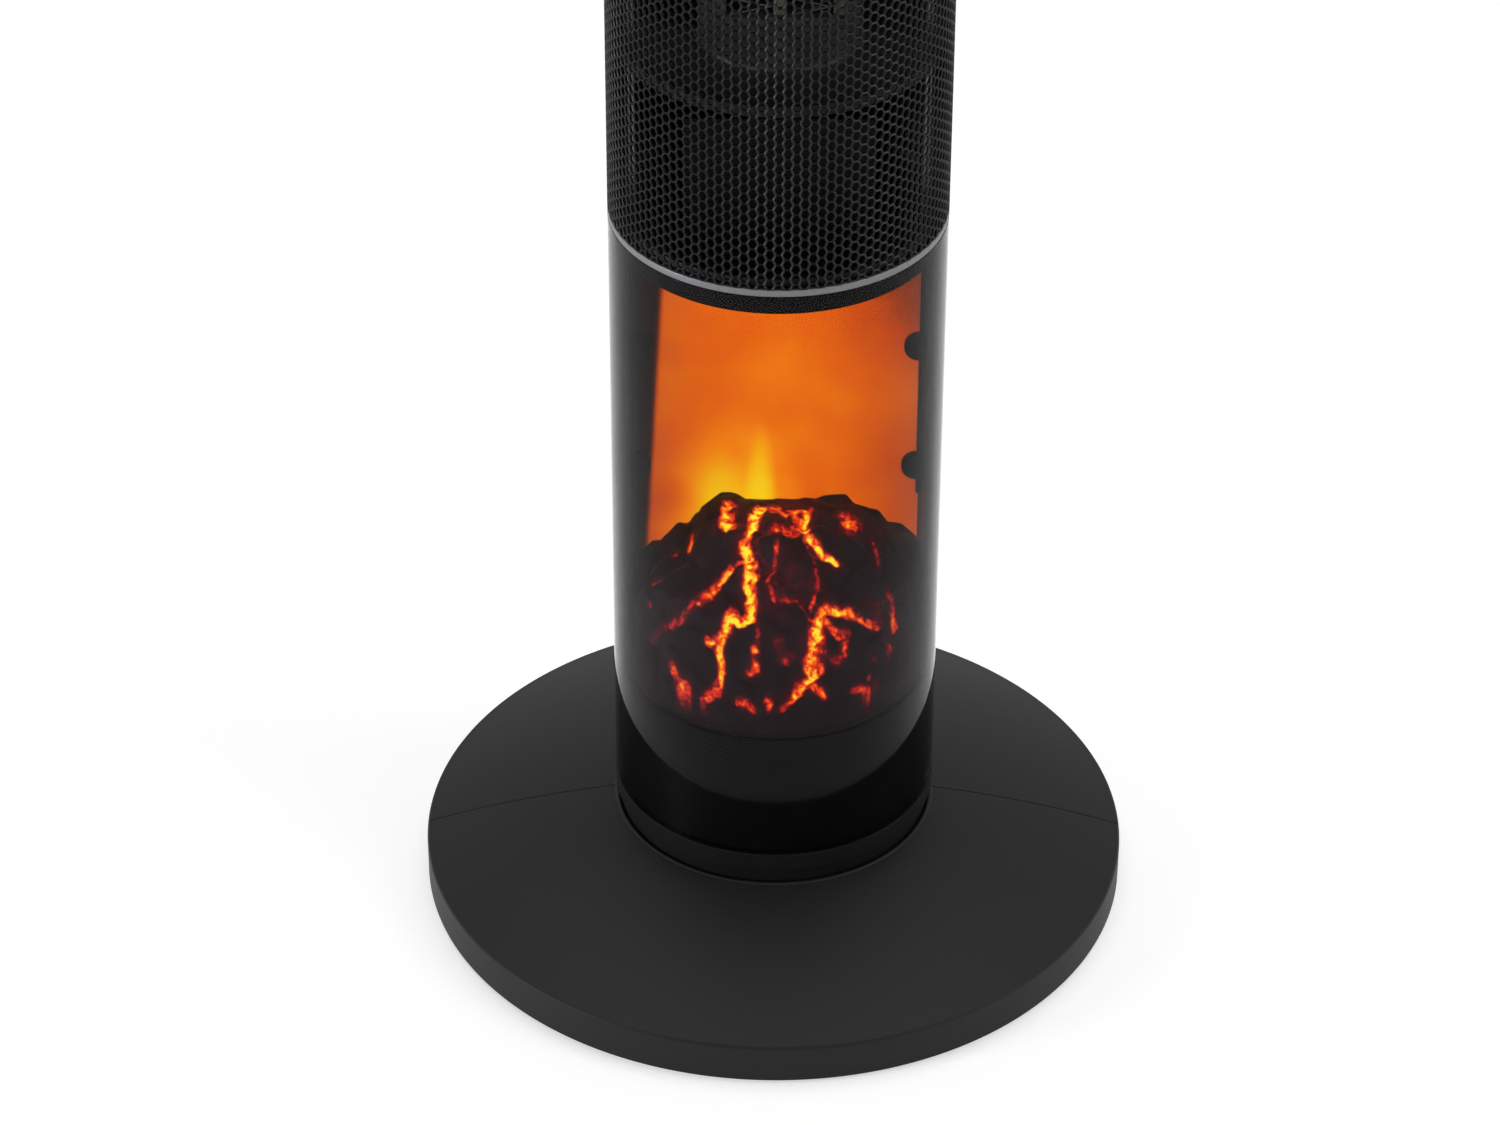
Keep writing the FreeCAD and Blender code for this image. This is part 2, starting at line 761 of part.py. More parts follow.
def swing_motor():
    foot = f"({GEAR_FOOT} + gear_thickness + spindle_rise + run_gap + swing_bracket_sheet)"
    can = rod(GEAR_CENTRES, "0", foot, "swing_motor_radius", "swing_motor_height")
    depth = "swing_motor_height / 2 + fit_gap"
    bore = rod(GEAR_CENTRES, "0", foot, "swing_shaft_radius + shaft_gap", depth)
    return piece(combined("Cut", can, bore), "swing_motor")


# Lower tower

def turntable():
    body = new_body("turntable")
    bore = "(spindle_radius + shaft_gap)"
    rim = "(tower_radius - foot_ring_wall - fit_gap)"
    hub = f"({bore} + turntable_hub_wall)"
    turned(body, [
        (bore, TOWER_FOOT),
        (rim, TOWER_FOOT),
        (rim, TURNTABLE_TOP),
        (hub, TURNTABLE_TOP),
        (hub, f"{TOWER_FOOT} + turntable_hub_height"),
        (bore, f"{TOWER_FOOT} + turntable_hub_height"),
    ])
    return piece(body, "turntable")


def foot_ring():
    """The black ring round the tower's foot, with a ledge that lies on the turntable."""
    body = new_body("foot_ring")
    inner = "(tower_radius - foot_ring_wall)"
    ledge = f"({inner} - foot_ring_ledge)"
    turned(body, [
        (inner, TOWER_FOOT),
        ("tower_radius", TOWER_FOOT),
        ("tower_radius", RING_TOP),
        (ledge, RING_TOP),
        (ledge, TURNTABLE_TOP),
        (inner, TURNTABLE_TOP),
    ])
    return piece(body, "foot_ring")


def flame_tube():
    body = new_body("flame_tube")
    inner = "(tower_radius - tube_wall)"
    turned(body, [
        (inner, RING_TOP),
        ("tower_radius", RING_TOP),
        ("tower_radius", TUBE_TOP),
        (inner, TUBE_TOP),
    ])
    return piece(body, "flame_tube")


def plinth_drum():
    """The black drum in the foot of the tube, which carries the ember bed and hangs the light board."""
    body = new_body("plinth_drum")
    inner = f"({INNER} - plinth_wall)"
    deck_foot = f"({PLINTH_TOP} - plinth_deck)"
    turned(body, [
        (inner, RING_TOP),
        (INNER, RING_TOP),
        (INNER, PLINTH_TOP),
        ("plinth_opening", PLINTH_TOP),
        ("plinth_opening", deck_foot),
        (inner, deck_foot),
    ])
    sketch = new_sketch(body, "XY_Plane", lift=deck_foot)
    circle(sketch, *polar("(plinth_opening + ember_board_radius) / 2", FRONT), "ember_post_radius")
    post = extruded(body, "Pad", sketch, "ember_post_length", reverse=True)
    repeat_round(body, post, EMBER_POSTS)
    return piece(body, "plinth_drum")


def ember_lights():
    """A round board under the plinth's opening, with its ring of lamps."""
    board_top = f"({PLINTH_TOP} - plinth_deck - ember_post_length)"
    parts = [rod("0", "0", f"{board_top} - board_thickness", "ember_board_radius", "board_thickness")]
    for number in range(EMBER_LEDS):
        x, y = polar("ember_led_circle", 360 / EMBER_LEDS * number)
        parts.append(rod(x, y, board_top, "led_radius", "led_height"))
    return piece(group(parts), "ember_board")


def ember_bed():
    """A hollow lava mound with a crater, trimmed to the tube and to the screen behind it."""
    body = new_body("mound")
    crater = f"({PLINTH_TOP} + crater_height)"
    toe = f"({PLINTH_TOP} + mound_toe)"
    turned(body, [
        ("0", PLINTH_TOP),
        ("mound_radius", PLINTH_TOP),
        ("mound_radius", toe),
        ("shoulder_radius", f"{crater} - shoulder_drop"),
        ("crater_radius", crater),
        ("0", f"{crater} - crater_dip"),
    ])
    place(body, y="mound_offset")
    height = "crater_height + mound_toe"
    within = rod("0", "0", PLINTH_TOP, f"{LINER_INNER} - fit_gap", height)
    back = "(screen_offset - rail_depth - fit_gap)"
    behind = block("-tower_radius", back, PLINTH_TOP, "2 * tower_radius", "tower_radius", height)
    trimmed = combined("Common", body, combined("Cut", within, behind))
    cavity = doc.addObject("Part::Cone", "cavity")
    bind(cavity, "Radius1", "cavity_radius")
    bind(cavity, "Radius2", "cavity_top_radius")
    bind(cavity, "Height", "cavity_height")
    place(cavity, y="-cavity_offset", z=PLINTH_TOP)
    return piece(combined("Cut", trimmed, cavity), "ember_bed")


def rear_liner():
    """The black shell that lines the rear and sides of the tube and carries the middle deck."""
    height = f"{LINER_TOP} - {PLINTH_TOP}"
    shell = tube_shell(INNER, LINER_INNER, PLINTH_TOP, height)
    corner = ("-tower_radius", "-liner_forward", PLINTH_TOP)
    lined_room = block(*corner, "2 * tower_radius", "liner_forward + tower_radius", height)
    return piece(combined("Common", shell, lined_room), "rear_liner")


def flame_screen():
    height = f"{LINER_TOP} - {PLINTH_TOP}"
    corner = (f"-{SCREEN_HALF}", "screen_offset", PLINTH_TOP)
    panel = block(*corner, f"2 * {SCREEN_HALF}", "screen_thickness", height)
    return piece(panel, "flame_screen")


def screen_rails():
    """Two rails in front of the screen's edges, each with two round clips."""
    foot = f"({PLINTH_TOP} + crater_height)"
    front = "(screen_offset - rail_depth)"
    inner = f"({SCREEN_HALF} - rail_lap)"
    width = f"({RAIL_OUTER} - {inner})"
    rails = []
    for left, clip_x in ((inner, inner), (f"-{RAIL_OUTER}", f"-{inner}")):
        rail = block(left, front, foot, width, "rail_depth", f"{LINER_TOP} - {foot}")
        for clip_height in ("lower_clip_height", "upper_clip_height"):
            clip = rod(clip_x, "0", "0", "clip_radius", "rail_depth")
            clip.Placement.Rotation = Rotation(Vector(1, 0, 0), -90)
            place(clip, clip_x, front, f"{PLINTH_TOP} + {clip_height}")
            rail = combined("Fuse", rail, clip)
        bore = rod("0", "0", foot, f"{LINER_INNER} - shaft_gap", "tube_length")
        rails.append(combined("Common", rail, bore))
    return piece(group(rails), "screen_rails")


def flame_strips():
    """Two upright lamp strips behind the screen, which light the flicker rotor."""
    back = f"({SCREEN_BACK} + strip_gap)"
    face = "(strip_spread - board_thickness / 2)"
    parts = []
    right = (face, f"{face} - led_height")
    left = (f"-{face} - board_thickness", f"-{face}")
    for board_left, lamp_left in (right, left):
        parts.append(block(board_left, back, PLINTH_TOP, "board_thickness", "strip_width", "strip_length"))
        for number in range(STRIP_LEDS):
            foot = f"{PLINTH_TOP} + strip_length * {(number + 0.5) / STRIP_LEDS}"
            lamp = (lamp_left, f"{back} + led_radius", foot)
            parts.append(block(*lamp, "led_height", "2 * led_radius", "2 * led_radius"))
    return piece(group(parts), "flame_strips")


FLICKER_FOOT = f"({PLINTH_TOP} + flicker_motor_height + flicker_end_play)"
FLICKER_TOP = f"({MID_DECK_FOOT} - flicker_post_length - flicker_end_play)"


def flicker_motor():
    can = rod("0", FLICKER_Y, PLINTH_TOP, "flicker_motor_radius", "flicker_motor_height")
    bore_foot = f"{PLINTH_TOP} + flicker_motor_height / 2 - fit_gap"
    depth = "flicker_motor_height / 2 + fit_gap"
    bore = rod("0", FLICKER_Y, bore_foot, "flicker_shaft_radius + shaft_gap", depth)
    return piece(combined("Cut", can, bore), "flicker_motor")


def flicker_rotor():
    """Bright vanes on a core that turns on its lower shaft and a pin at the top."""
    body = new_body("flicker_rotor")
    shaft_foot = f"({PLINTH_TOP} + flicker_motor_height / 2)"
    pin_top = f"({FLICKER_TOP} + flicker_post_length / 2)"
    turned(body, [
        ("0", shaft_foot),
        ("flicker_shaft_radius", shaft_foot),
        ("flicker_shaft_radius", FLICKER_FOOT),
        ("flicker_core_radius", FLICKER_FOOT),
        ("flicker_core_radius", FLICKER_TOP),
        ("flicker_shaft_radius", FLICKER_TOP),
        ("flicker_shaft_radius", pin_top),
        ("0", pin_top),
    ])
    sketch = new_sketch(body, "XZ_Plane")
    step = f"(({FLICKER_TOP} - {FLICKER_FOOT}) / 4)"
    outline(sketch, [
        ("flicker_shaft_radius", FLICKER_FOOT),
        ("flicker_vane_reach", FLICKER_FOOT),
        ("flicker_core_radius", f"{FLICKER_FOOT} + {step}"),
        ("flicker_vane_reach", f"{FLICKER_FOOT} + 2 * {step}"),
        ("flicker_core_radius", f"{FLICKER_FOOT} + 3 * {step}"),
        ("flicker_vane_reach", FLICKER_TOP),
        ("flicker_shaft_radius", FLICKER_TOP),
    ])
    vane = extruded(body, "Pad", sketch, "flicker_vane_sheet", symmetric=True)
    repeat_round(body, vane, FLICKER_VANES)
    place(body, y=FLICKER_Y)
    return piece(body, "flicker_rotor")


def flicker_post():
    """The bearing post that hangs from the middle deck over the rotor's pin."""
    foot = f"({MID_DECK_FOOT} - flicker_post_length)"
    post = rod("0", FLICKER_Y, foot, "flicker_post_radius", "flicker_post_length")
    bore = rod("0", FLICKER_Y, foot, "flicker_shaft_radius + shaft_gap", "flicker_post_length / 2")
    return piece(combined("Cut", post, bore), "flicker_post")


def middle_deck():
    """The deck over the tube: a bezel inside the tube's top and a collar up inside the trim ring."""
    body = new_body("middle_deck")
    inner = f"({INNER} - collar_wall)"
    collar_top = f"({TUBE_TOP} + collar_height)"
    turned(body, [
        ("wire_hole_radius", MID_DECK_FOOT),
        (inner, MID_DECK_FOOT),
        (inner, LINER_TOP),
        (INNER, LINER_TOP),
        (INNER, collar_top),
        (inner, collar_top),
        (inner, TUBE_TOP),
        ("wire_hole_radius", TUBE_TOP),
    ])
    return piece(body, "middle_deck")


def silver_ring():
    body = new_body("silver_ring")
    inner = "(tower_radius - tube_wall)"
    turned(body, [
        (inner, TUBE_TOP),
        ("tower_radius", TUBE_TOP),
        ("tower_radius", f"{GRILLE_FOOT} - silver_ring_chamfer"),
        ("tower_radius - silver_ring_chamfer", GRILLE_FOOT),
        (inner, GRILLE_FOOT),
    ])
    return piece(body, "silver_ring")


# Upper tower

ROW_PITCH = f"((grille_length - 2 * grille_border) / {GRILLE_ROWS})"
COLUMN_PITCH = f"(tower_radius * {COLUMN_STEP} * pi / {HALF_TURN})"


def grille_openings(plain_rows):
    """The six-sided prisms that open one half of the sleeve, in columns that are half a row apart."""
    pitch = value(ROW_PITCH)
    half_height = (pitch - value("grille_web")) / 2
    reach = (value(COLUMN_PITCH) - value("grille_web")) / 1.5
    corners = [(reach, 0), (reach / 2, half_height), (-reach / 2, half_height)]
    corners += [(-x, -z) for x, z in corners]
    inside = value("tower_radius - 4 * grille_wall")
    outward = Vector(0, value("8 * grille_wall"), 0)
    first_angle = (HALF_TURN - COLUMN_STEP * (GRILLE_COLUMNS - 1)) / 2
    prisms = []
    for column in range(GRILLE_COLUMNS):
        shift = column % 2
        for row in range(plain_rows, GRILLE_ROWS - shift):
            middle = value(f"{GRILLE_FOOT} + grille_border") + pitch * (row + 0.5 + 0.5 * shift)
            points = [Vector(x, inside, middle + z) for x, z in corners]
            prism = Part.Face(Part.makePolygon(points + points[:1])).extrude(outward)
            prism.rotate(Vector(), Vector(0, 0, 1), first_angle + COLUMN_STEP * column - HALF_TURN / 2)
            prisms.append(prism)
    openings = doc.addObject("Part::Feature", "openings")
    openings.Shape = Part.makeCompound(prisms)
    return openings


def grille_half(label, half_turn, plain_rows=0):
    """Half of the sleeve of thin perforated sheet, drawn off the seam at its sides."""
    body = new_body("sleeve_sheet")
    inner = "(tower_radius - grille_wall)"
    turned(body, [
        (inner, GRILLE_FOOT),
        ("tower_radius", GRILLE_FOOT),
        ("tower_radius", GRILLE_TOP),
        (inner, GRILLE_TOP),
    ], HALF_TURN)
    sleeve = combined("Cut", body, grille_openings(plain_rows))
    sleeve.Placement = Placement(Vector(), Rotation(Vector(0, 0, 1), half_turn))
    place(sleeve, y="-grille_seam / 2" if half_turn else "grille_seam / 2")
    return piece(sleeve, label)


def side_post(label, left):
    height = f"{UPPER_DECK_FOOT} - {TUBE_TOP}"
    post = block(left, "-post_width / 2", TUBE_TOP, "post_thickness", "post_width", height)
    return piece(post, label)


def notched_disc(foot, sheet_size, rim_height, hole):
    """A round deck with a low rim, notches for the side posts and a hole on the blower's axis."""
    body = new_body("disc")
    top = f"({foot} + {sheet_size})"
    rim_top = f"({top} + {rim_height})"
    turned(body, [
        ("0", foot),
        (DECK, foot),
        (DECK, rim_top),
        (f"{DECK} - deck_rim_wall", rim_top),
        (f"{DECK} - deck_rim_wall", top),
        ("0", top),
    ])
    sketch = new_sketch(body, "XY_Plane", lift=foot)
    circle(sketch, "0", BLOWER_Y, hole)
    half_width = "(post_width / 2 + run_gap)"
    near = f"({POST} - run_gap)"
    far = f"({POST} + post_thickness + run_gap)"
    rectangle(sketch, near, f"-{half_width}", far, half_width)
    rectangle(sketch, f"-{far}", f"-{half_width}", f"-{near}", half_width)
    extruded(body, "Pocket", sketch, f"{sheet_size} + {rim_height}", reverse=True)
    return body


def blower_deck():
    hole = "blower_motor_boss + run_gap"
    disc = notched_disc(BLOWER_DECK_FOOT, "blower_deck_sheet", "deck_rim_height", hole)
    return piece(disc, "blower_deck")


def top_plate():
    hole = "blower_shaft_radius + bush_wall + shaft_gap"
    disc = notched_disc(TOP_PLATE_FOOT, "blower_deck_sheet", "deck_rim_height", hole)
    return piece(disc, "top_plate")


def blower_motor():
    """The can under the blower deck, with a boss that centres it in the deck."""
    body = new_body("blower_motor")
    foot = f"({BLOWER_DECK_FOOT} - blower_motor_height)"
    boss_top = f"({BLOWER_DECK_FOOT} + blower_motor_boss_height)"
    bore = "(blower_shaft_radius + shaft_gap)"
    turned(body, [
        (bore, foot),
        ("blower_motor_radius", foot),
        ("blower_motor_radius", BLOWER_DECK_FOOT),
        ("blower_motor_boss", BLOWER_DECK_FOOT),
        ("blower_motor_boss", boss_top),
        (bore, boss_top),
    ])
    place(body, y=BLOWER_Y)
    return piece(body, "blower_motor")


def blower_shaft():
    foot = f"({BLOWER_DECK_FOOT} - blower_motor_height)"
    length = f"{TOP_PLATE_FOOT} + blower_deck_sheet - {foot}"
    return piece(rod("0", BLOWER_Y, foot, "blower_shaft_radius", length), "blower_shaft")


def blower_wheel():
    """A tangential wheel: two end discs with curved blades between them."""
    body = new_body("blower_wheel")
    bottom = new_sketch(body, "XY_Plane", lift=BLOWER_FOOT)
    circle(bottom, "0", "0", "blower_radius")
    circle(bottom, "0", "0", "blower_shaft_radius")
    extruded(body, "Pad", bottom, "end_disc")
    inner_x = "(blower_radius - blade_depth)"
    outer_x, outer_y = polar("(blower_radius - run_gap)", "blade_lead")
    sketch = new_sketch(body, "XY_Plane", lift=BLOWER_FOOT)
    outline(sketch, [
        (inner_x, "0", "blade_arc_radius", "left"),
        (outer_x, outer_y),
        (f"{outer_x} - blade_sheet", outer_y, "blade_arc_radius", "right"),
        (inner_x, "blade_sheet"),
    ])
    blade = extruded(body, "Pad", sketch, "blower_length")
    repeat_round(body, blade, BLADES)
    top = new_sketch(body, "XY_Plane", lift=f"{BLOWER_FOOT} + blower_length - end_disc")
    circle(top, "0", "0", "blower_radius")
    circle(top, "0", "0", "blower_shaft_radius")
    body.Tip = extruded(body, "Pad", top, "end_disc")
    place(body, y=BLOWER_Y)
    return piece(body, "blower_wheel")


def shaft_bush():
    """The flanged bush in the top plate that the blower's shaft turns in."""
    body = new_body("shaft_bush")
    bore = "(blower_shaft_radius + shaft_gap)"
    outer = "(blower_shaft_radius + bush_wall)"
    top = f"({TOP_PLATE_FOOT} + blower_deck_sheet)"
    turned(body, [
        (bore, TOP_PLATE_FOOT),
        (outer, TOP_PLATE_FOOT),
        (outer, top),
        (f"{outer} + bush_flange_width", top),
        (f"{outer} + bush_flange_width", f"{top} + bush_flange"),
        (bore, f"{top} + bush_flange"),
    ])
    place(body, y=BLOWER_Y)
    return piece(body, "shaft_bush")


def blower_scroll():
    """The guide on one side of the wheel, from its rear to the heater's frame."""
    body = new_body("blower_scroll")
    start_y = f"({BLOWER_Y} + blower_radius + scroll_start_gap)"
    end_x = "(heater_half_width - 2 * scroll_wall)"
    sketch = new_sketch(body, "XY_Plane", lift=BLOWER_DECK_TOP)
    outline(sketch, [
        ("scroll_start", start_y, "scroll_radius", "right"),
        (end_x, HEATER_BACK),
        (f"{end_x} + scroll_wall", HEATER_BACK, "scroll_radius + scroll_wall", "left"),
        ("scroll_start", f"{start_y} + scroll_wall"),
    ])
    extruded(body, "Pad", sketch, f"{TOP_PLATE_FOOT} - {BLOWER_DECK_TOP}")
    return piece(body, "blower_scroll")


def vortex_tongue():
    """The short wall on the other side of the wheel, which parts the two air streams."""
    body = new_body("vortex_tongue")
    foot_x = "(scroll_wall - heater_half_width)"
    tip_x = "(-blower_radius - tongue_gap)"
    tip_y = f"({BLOWER_Y} - tongue_rise)"
    sketch = new_sketch(body, "XY_Plane", lift=BLOWER_DECK_TOP)
    outline(sketch, [
        (foot_x, HEATER_BACK),
        (f"{foot_x} + scroll_wall", HEATER_BACK, "tongue_radius", "right"),
        (tip_x, tip_y),
        (f"{tip_x} - scroll_wall", tip_y, "tongue_radius + scroll_wall", "left"),
    ])
    extruded(body, "Pad", sketch, f"{TOP_PLATE_FOOT} - {BLOWER_DECK_TOP}")
    return piece(body, "vortex_tongue")


# Ceramic heater: an upright frame, three ceramic bars and two corrugated fin packs

def heater_frame():
    body = new_body("heater_frame")
    height = f"({TOP_PLATE_FOOT} - {BLOWER_DECK_TOP})"
    sketch = new_sketch(body, "XZ_Plane")
    window_half = "(heater_half_width - heater_frame_bar)"
    rectangle(sketch, "-heater_half_width", "0", "heater_half_width", height)
    rectangle(sketch, f"-{window_half}", "heater_frame_bar", window_half, f"{height} - heater_frame_bar")
    extruded(body, "Pad", sketch, "heater_depth")
    place(body, y=HEATER_BACK, z=BLOWER_DECK_TOP)
    return piece(body, "heater_frame")


WINDOW_FOOT = f"({BLOWER_DECK_TOP} + heater_frame_bar)"
WINDOW_HEIGHT = f"({TOP_PLATE_FOOT} - {BLOWER_DECK_TOP} - 2 * heater_frame_bar)"
CORE_FRONT = f"({HEATER_FRONT} + (heater_depth - ceramic_depth) / 2)"


def ceramic_bars():
    """Two bars against the frame's sides and one down the middle, standing in the window."""
    edge = "(heater_half_width - heater_frame_bar)"
    bars = []
    for left in (f"-{edge}", "-ceramic_width / 2", f"{edge} - ceramic_width"):
        bars.append(block(left, CORE_FRONT, WINDOW_FOOT, "ceramic_width", "ceramic_depth", WINDOW_HEIGHT))
    return piece(group(bars), "ceramic_bars")


def fin_pack(centre):
    """A zigzag strip of thin aluminium between two bars."""
    edge = value("heater_half_width - heater_frame_bar")
    half = (edge - 1.5 * value("ceramic_width")) / 2 - value("run_gap") / 2
    height = value(WINDOW_HEIGHT)
    folds = int(height / (value("fin_pitch") / 2))
    step = height / folds
    thick = value("fin_sheet") / step
    inner = half * (1 - thick) / (1 + thick)
    left = [Vector(centre + (inner if fold % 2 else -half), 0, fold * step) for fold in range(folds + 1)]
    right = [Vector(centre + (half if fold % 2 else -inner), 0, fold * step) for fold in range(folds + 1)]
    strip = Part.Face(Part.makePolygon(left + right[::-1] + left[:1]))
    return strip.extrude(Vector(0, value("ceramic_depth"), 0))


def heater_fins():
    edge = value("heater_half_width - heater_frame_bar")
    centre = (edge - value("ceramic_width") / 2) / 2
    item = doc.addObject("Part::Feature", "heater_fins")
    item.Shape = Part.makeCompound([fin_pack(-centre), fin_pack(centre)])
    item.Placement = Placement(Vector(0, value(CORE_FRONT), value(WINDOW_FOOT)), Rotation())
    return piece(item, "heater_fins")


def heat_shield():
    """The pale half disc on the deck in front of the heater."""
    body = new_body("heat_shield")
    sketch = new_sketch(body, "XY_Plane", lift=BLOWER_DECK_TOP)
    front = f"({HEATER_FRONT} - run_gap)"
    outline(sketch, [
        ("shield_radius", front),
        ("-shield_radius", front, "shield_radius", "left"),
        ("0", f"{front} - shield_radius", "shield_radius", "left"),
    ])
    extruded(body, "Pad", sketch, "shield_sheet")
    return piece(body, "heat_shield")


def thermal_cutout():
    """The round safety switch on the side of the heater's frame."""
    switch = rod("0", "0", "0", "cutout_radius", "cutout_height")
    switch.Placement.Rotation = Rotation(Vector(0, 1, 0), 90)
    middle = f"{HEATER_FRONT} + heater_depth / 2"
    place(switch, "heater_half_width", middle, f"{BLOWER_DECK_TOP} + cutout_rise")
    return piece(switch, "thermal_cutout")


def dust_filter():
    """A curved screen inside the rear sleeve, over the height of the blower."""
    height = f"{TOP_PLATE_FOOT} - {BLOWER_DECK_TOP}"
    outer = "(tower_radius - grille_wall - run_gap)"
    shell = tube_shell(outer, f"{outer} - filter_wall", BLOWER_DECK_TOP, height)
    rear = block(f"-{DECK}", HEATER_BACK, BLOWER_DECK_TOP, f"2 * {DECK}", "tower_radius", height)
    return piece(combined("Common", shell, rear), "dust_filter")


def power_board():
    """The supply board on the middle deck, with its relays and capacitor."""
    left = "(-power_board_width / 2)"
    front = "(-power_board_offset)"
    face = f"({front} + board_thickness)"
    relay = ("relay_width", "relay_depth", "relay_height")
    parts = [block(left, front, TUBE_TOP, "power_board_width", "board_thickness", "power_board_height")]
    for number in range(RELAYS):
        relay_left = f"{left} + relay_margin + {number} * relay_pitch"
        parts.append(block(relay_left, face, f"{TUBE_TOP} + relay_height", *relay))
    capacitor = rod("0", "0", "0", "capacitor_radius", "capacitor_height")
    capacitor.Placement.Rotation = Rotation(Vector(1, 0, 0), -90)
    place(capacitor, f"-{left} - 2 * capacitor_radius", face, f"{TUBE_TOP} + 2 * capacitor_radius")
    parts.append(capacitor)
    return piece(group(parts), "power_board")


def tilt_switch():
    left = "(-tilt_switch_offset - tilt_switch_side)"
    switch = block(left, left, TURNTABLE_TOP, "tilt_switch_side", "tilt_switch_side", "tilt_switch_height")
    return piece(switch, "tilt_switch")


# Top cap and controls

def upper_deck():
    """The deck at the sleeve's top, with a collar that centres the cap."""
    body = new_body("upper_deck")
    outer = "(tower_radius - cap_wall - fit_gap)"
    inner = f"({outer} - collar_wall)"
    top = f"({UPPER_DECK_FOOT} + upper_deck_sheet)"
    collar_top = f"({GRILLE_TOP} + upper_collar_rise)"
    turned(body, [
        ("wire_hole_radius", UPPER_DECK_FOOT),
        (outer, UPPER_DECK_FOOT),
        (outer, collar_top),
        (inner, collar_top),
        (inner, top),
        ("wire_hole_radius", top),
    ])
    return piece(body, "upper_deck")


def top_cap():
    body = new_body("top_cap")
    recess = "(panel_radius + fit_gap)"
    ledge = "(panel_radius - panel_ledge)"
    ledge_foot = f"({PANEL_FOOT} - ledge_thickness)"
    inner = "(tower_radius - cap_wall)"
    turned(body, [
        (inner, GRILLE_TOP),
        ("tower_radius", GRILLE_TOP),
        ("tower_radius", f"{TOP} - cap_round", "cap_round", "left"),
        ("tower_radius - cap_round", TOP),
        (recess, TOP),
        (recess, PANEL_FOOT),
        (ledge, PANEL_FOOT),
        (ledge, ledge_foot),
        (inner, ledge_foot),
    ])
    return piece(body, "top_cap")


def button_angle(number):
    return f"({FRONT} + button_spacing * {number - (len(BUTTONS) - 1) / 2})"


def control_panel():
    """The glossy round inlay, with holes for the buttons, a window and posts for its board."""
    body = new_body("control_panel")
    sketch = new_sketch(body, "XY_Plane", lift=PANEL_FOOT)
    circle(sketch, "0", "0", "panel_radius")
    for number in range(len(BUTTONS)):
        circle(sketch, *polar("button_circle", button_angle(number)), "button_radius + run_gap")
    half = "(display_width / 2 + fit_gap)"
    front = "(display_offset - display_depth / 2 - fit_gap)"
    rectangle(sketch, f"-{half}", front, half, f"{front} + display_depth + 2 * fit_gap")
    extruded(body, "Pad", sketch, "panel_thickness")
    posts = new_sketch(body, "XY_Plane", lift=PANEL_FOOT)
    circle(posts, *polar("control_post_circle", FIRST_CONTROL_POST), "control_post_radius")
    post = extruded(body, "Pad", posts, "control_board_drop", reverse=True)
    repeat_round(body, post, CONTROL_POSTS)
    return piece(body, "control_panel")


def control_board():
    """The board under the panel, with a small switch under each button and the display."""
    board_foot = f"{CONTROL_BOARD_TOP} - board_thickness"
    parts = [rod("0", "0", board_foot, "control_board_radius", "board_thickness")]
    for number in range(len(BUTTONS)):
        x, y = polar("button_circle", button_angle(number))
        corner = (f"{x} - tact_side / 2", f"{y} - tact_side / 2", CONTROL_BOARD_TOP)
        parts.append(block(*corner, "tact_side", "tact_side", "tact_height"))
    piece(group(parts), "control_board")
    corner = ("-display_width / 2", "display_offset - display_depth / 2")
    height = f"{TOP} - display_lens - {CONTROL_BOARD_TOP}"
    module = block(*corner, CONTROL_BOARD_TOP, "display_width", "display_depth", height)
    piece(module, "display_module")
    lens = block(*corner, f"{TOP} - display_lens", "display_width", "display_depth", "display_lens")
    return piece(lens, "display_lens")


def button(number, name):
    """A round key with a flange under the panel and a stem over its switch."""
    body = new_body(f"{name}_button")
    flange_top = f"({PANEL_FOOT} - run_gap)"
    flange_foot = f"({flange_top} - button_flange)"
    stem_foot = f"({CONTROL_BOARD_TOP} + tact_height + button_travel + run_gap)"
    turned(body, [
        ("0", stem_foot),
        ("button_stem_radius", stem_foot),
        ("button_stem_radius", flange_foot),
        ("button_radius + button_flange_width", flange_foot),
        ("button_radius + button_flange_width", flange_top),
        ("button_radius", flange_top),
        ("button_radius", f"{TOP} + button_proud"),
        ("0", f"{TOP} + button_proud"),
    ])
    x, y = polar("button_circle", button_angle(number))
    place(body, x, y)
    return piece(body, f"{name}_button")


# The assembly, from the floor up
base_half("base_front_half", HALF_TURN)
cut_cord_notch(base_half("base_rear_half", 0))
base_plate()
cord_gland()
rubber_feet()
base_screws()
pivot_hub()
thrust_washer()
gear("fixed_gear", FIXED_GEAR_TEETH, SECTOR_TEETH, "spindle_radius", "0")
gear("swing_pinion", PINION_TEETH, PINION_TEETH, "swing_shaft_radius", GEAR_CENTRES)
swing_shaft()
swing_bracket()
swing_motor()
turntable()
foot_ring()
tilt_switch()
flame_tube()
plinth_drum()
ember_lights()
ember_bed()
rear_liner()
flame_screen()
screen_rails()
flame_strips()
flicker_motor()
flicker_rotor()
flicker_post()
middle_deck()
silver_ring()
grille_half("front_grille", HALF_TURN)
grille_half("rear_grille", 0, PLAIN_REAR_ROWS)
side_post("left_post", f"-{POST} - post_thickness")
side_post("right_post", POST)
power_board()
blower_deck()
blower_motor()
blower_shaft()
blower_wheel()
blower_scroll()
vortex_tongue()
heater_frame()
ceramic_bars()
heater_fins()
heat_shield()
thermal_cutout()
top_plate()
shaft_bush()
dust_filter()
upper_deck()
top_cap()
control_panel()
control_board()
for button_number, button_name in enumerate(BUTTONS):
    button(button_number, button_name)

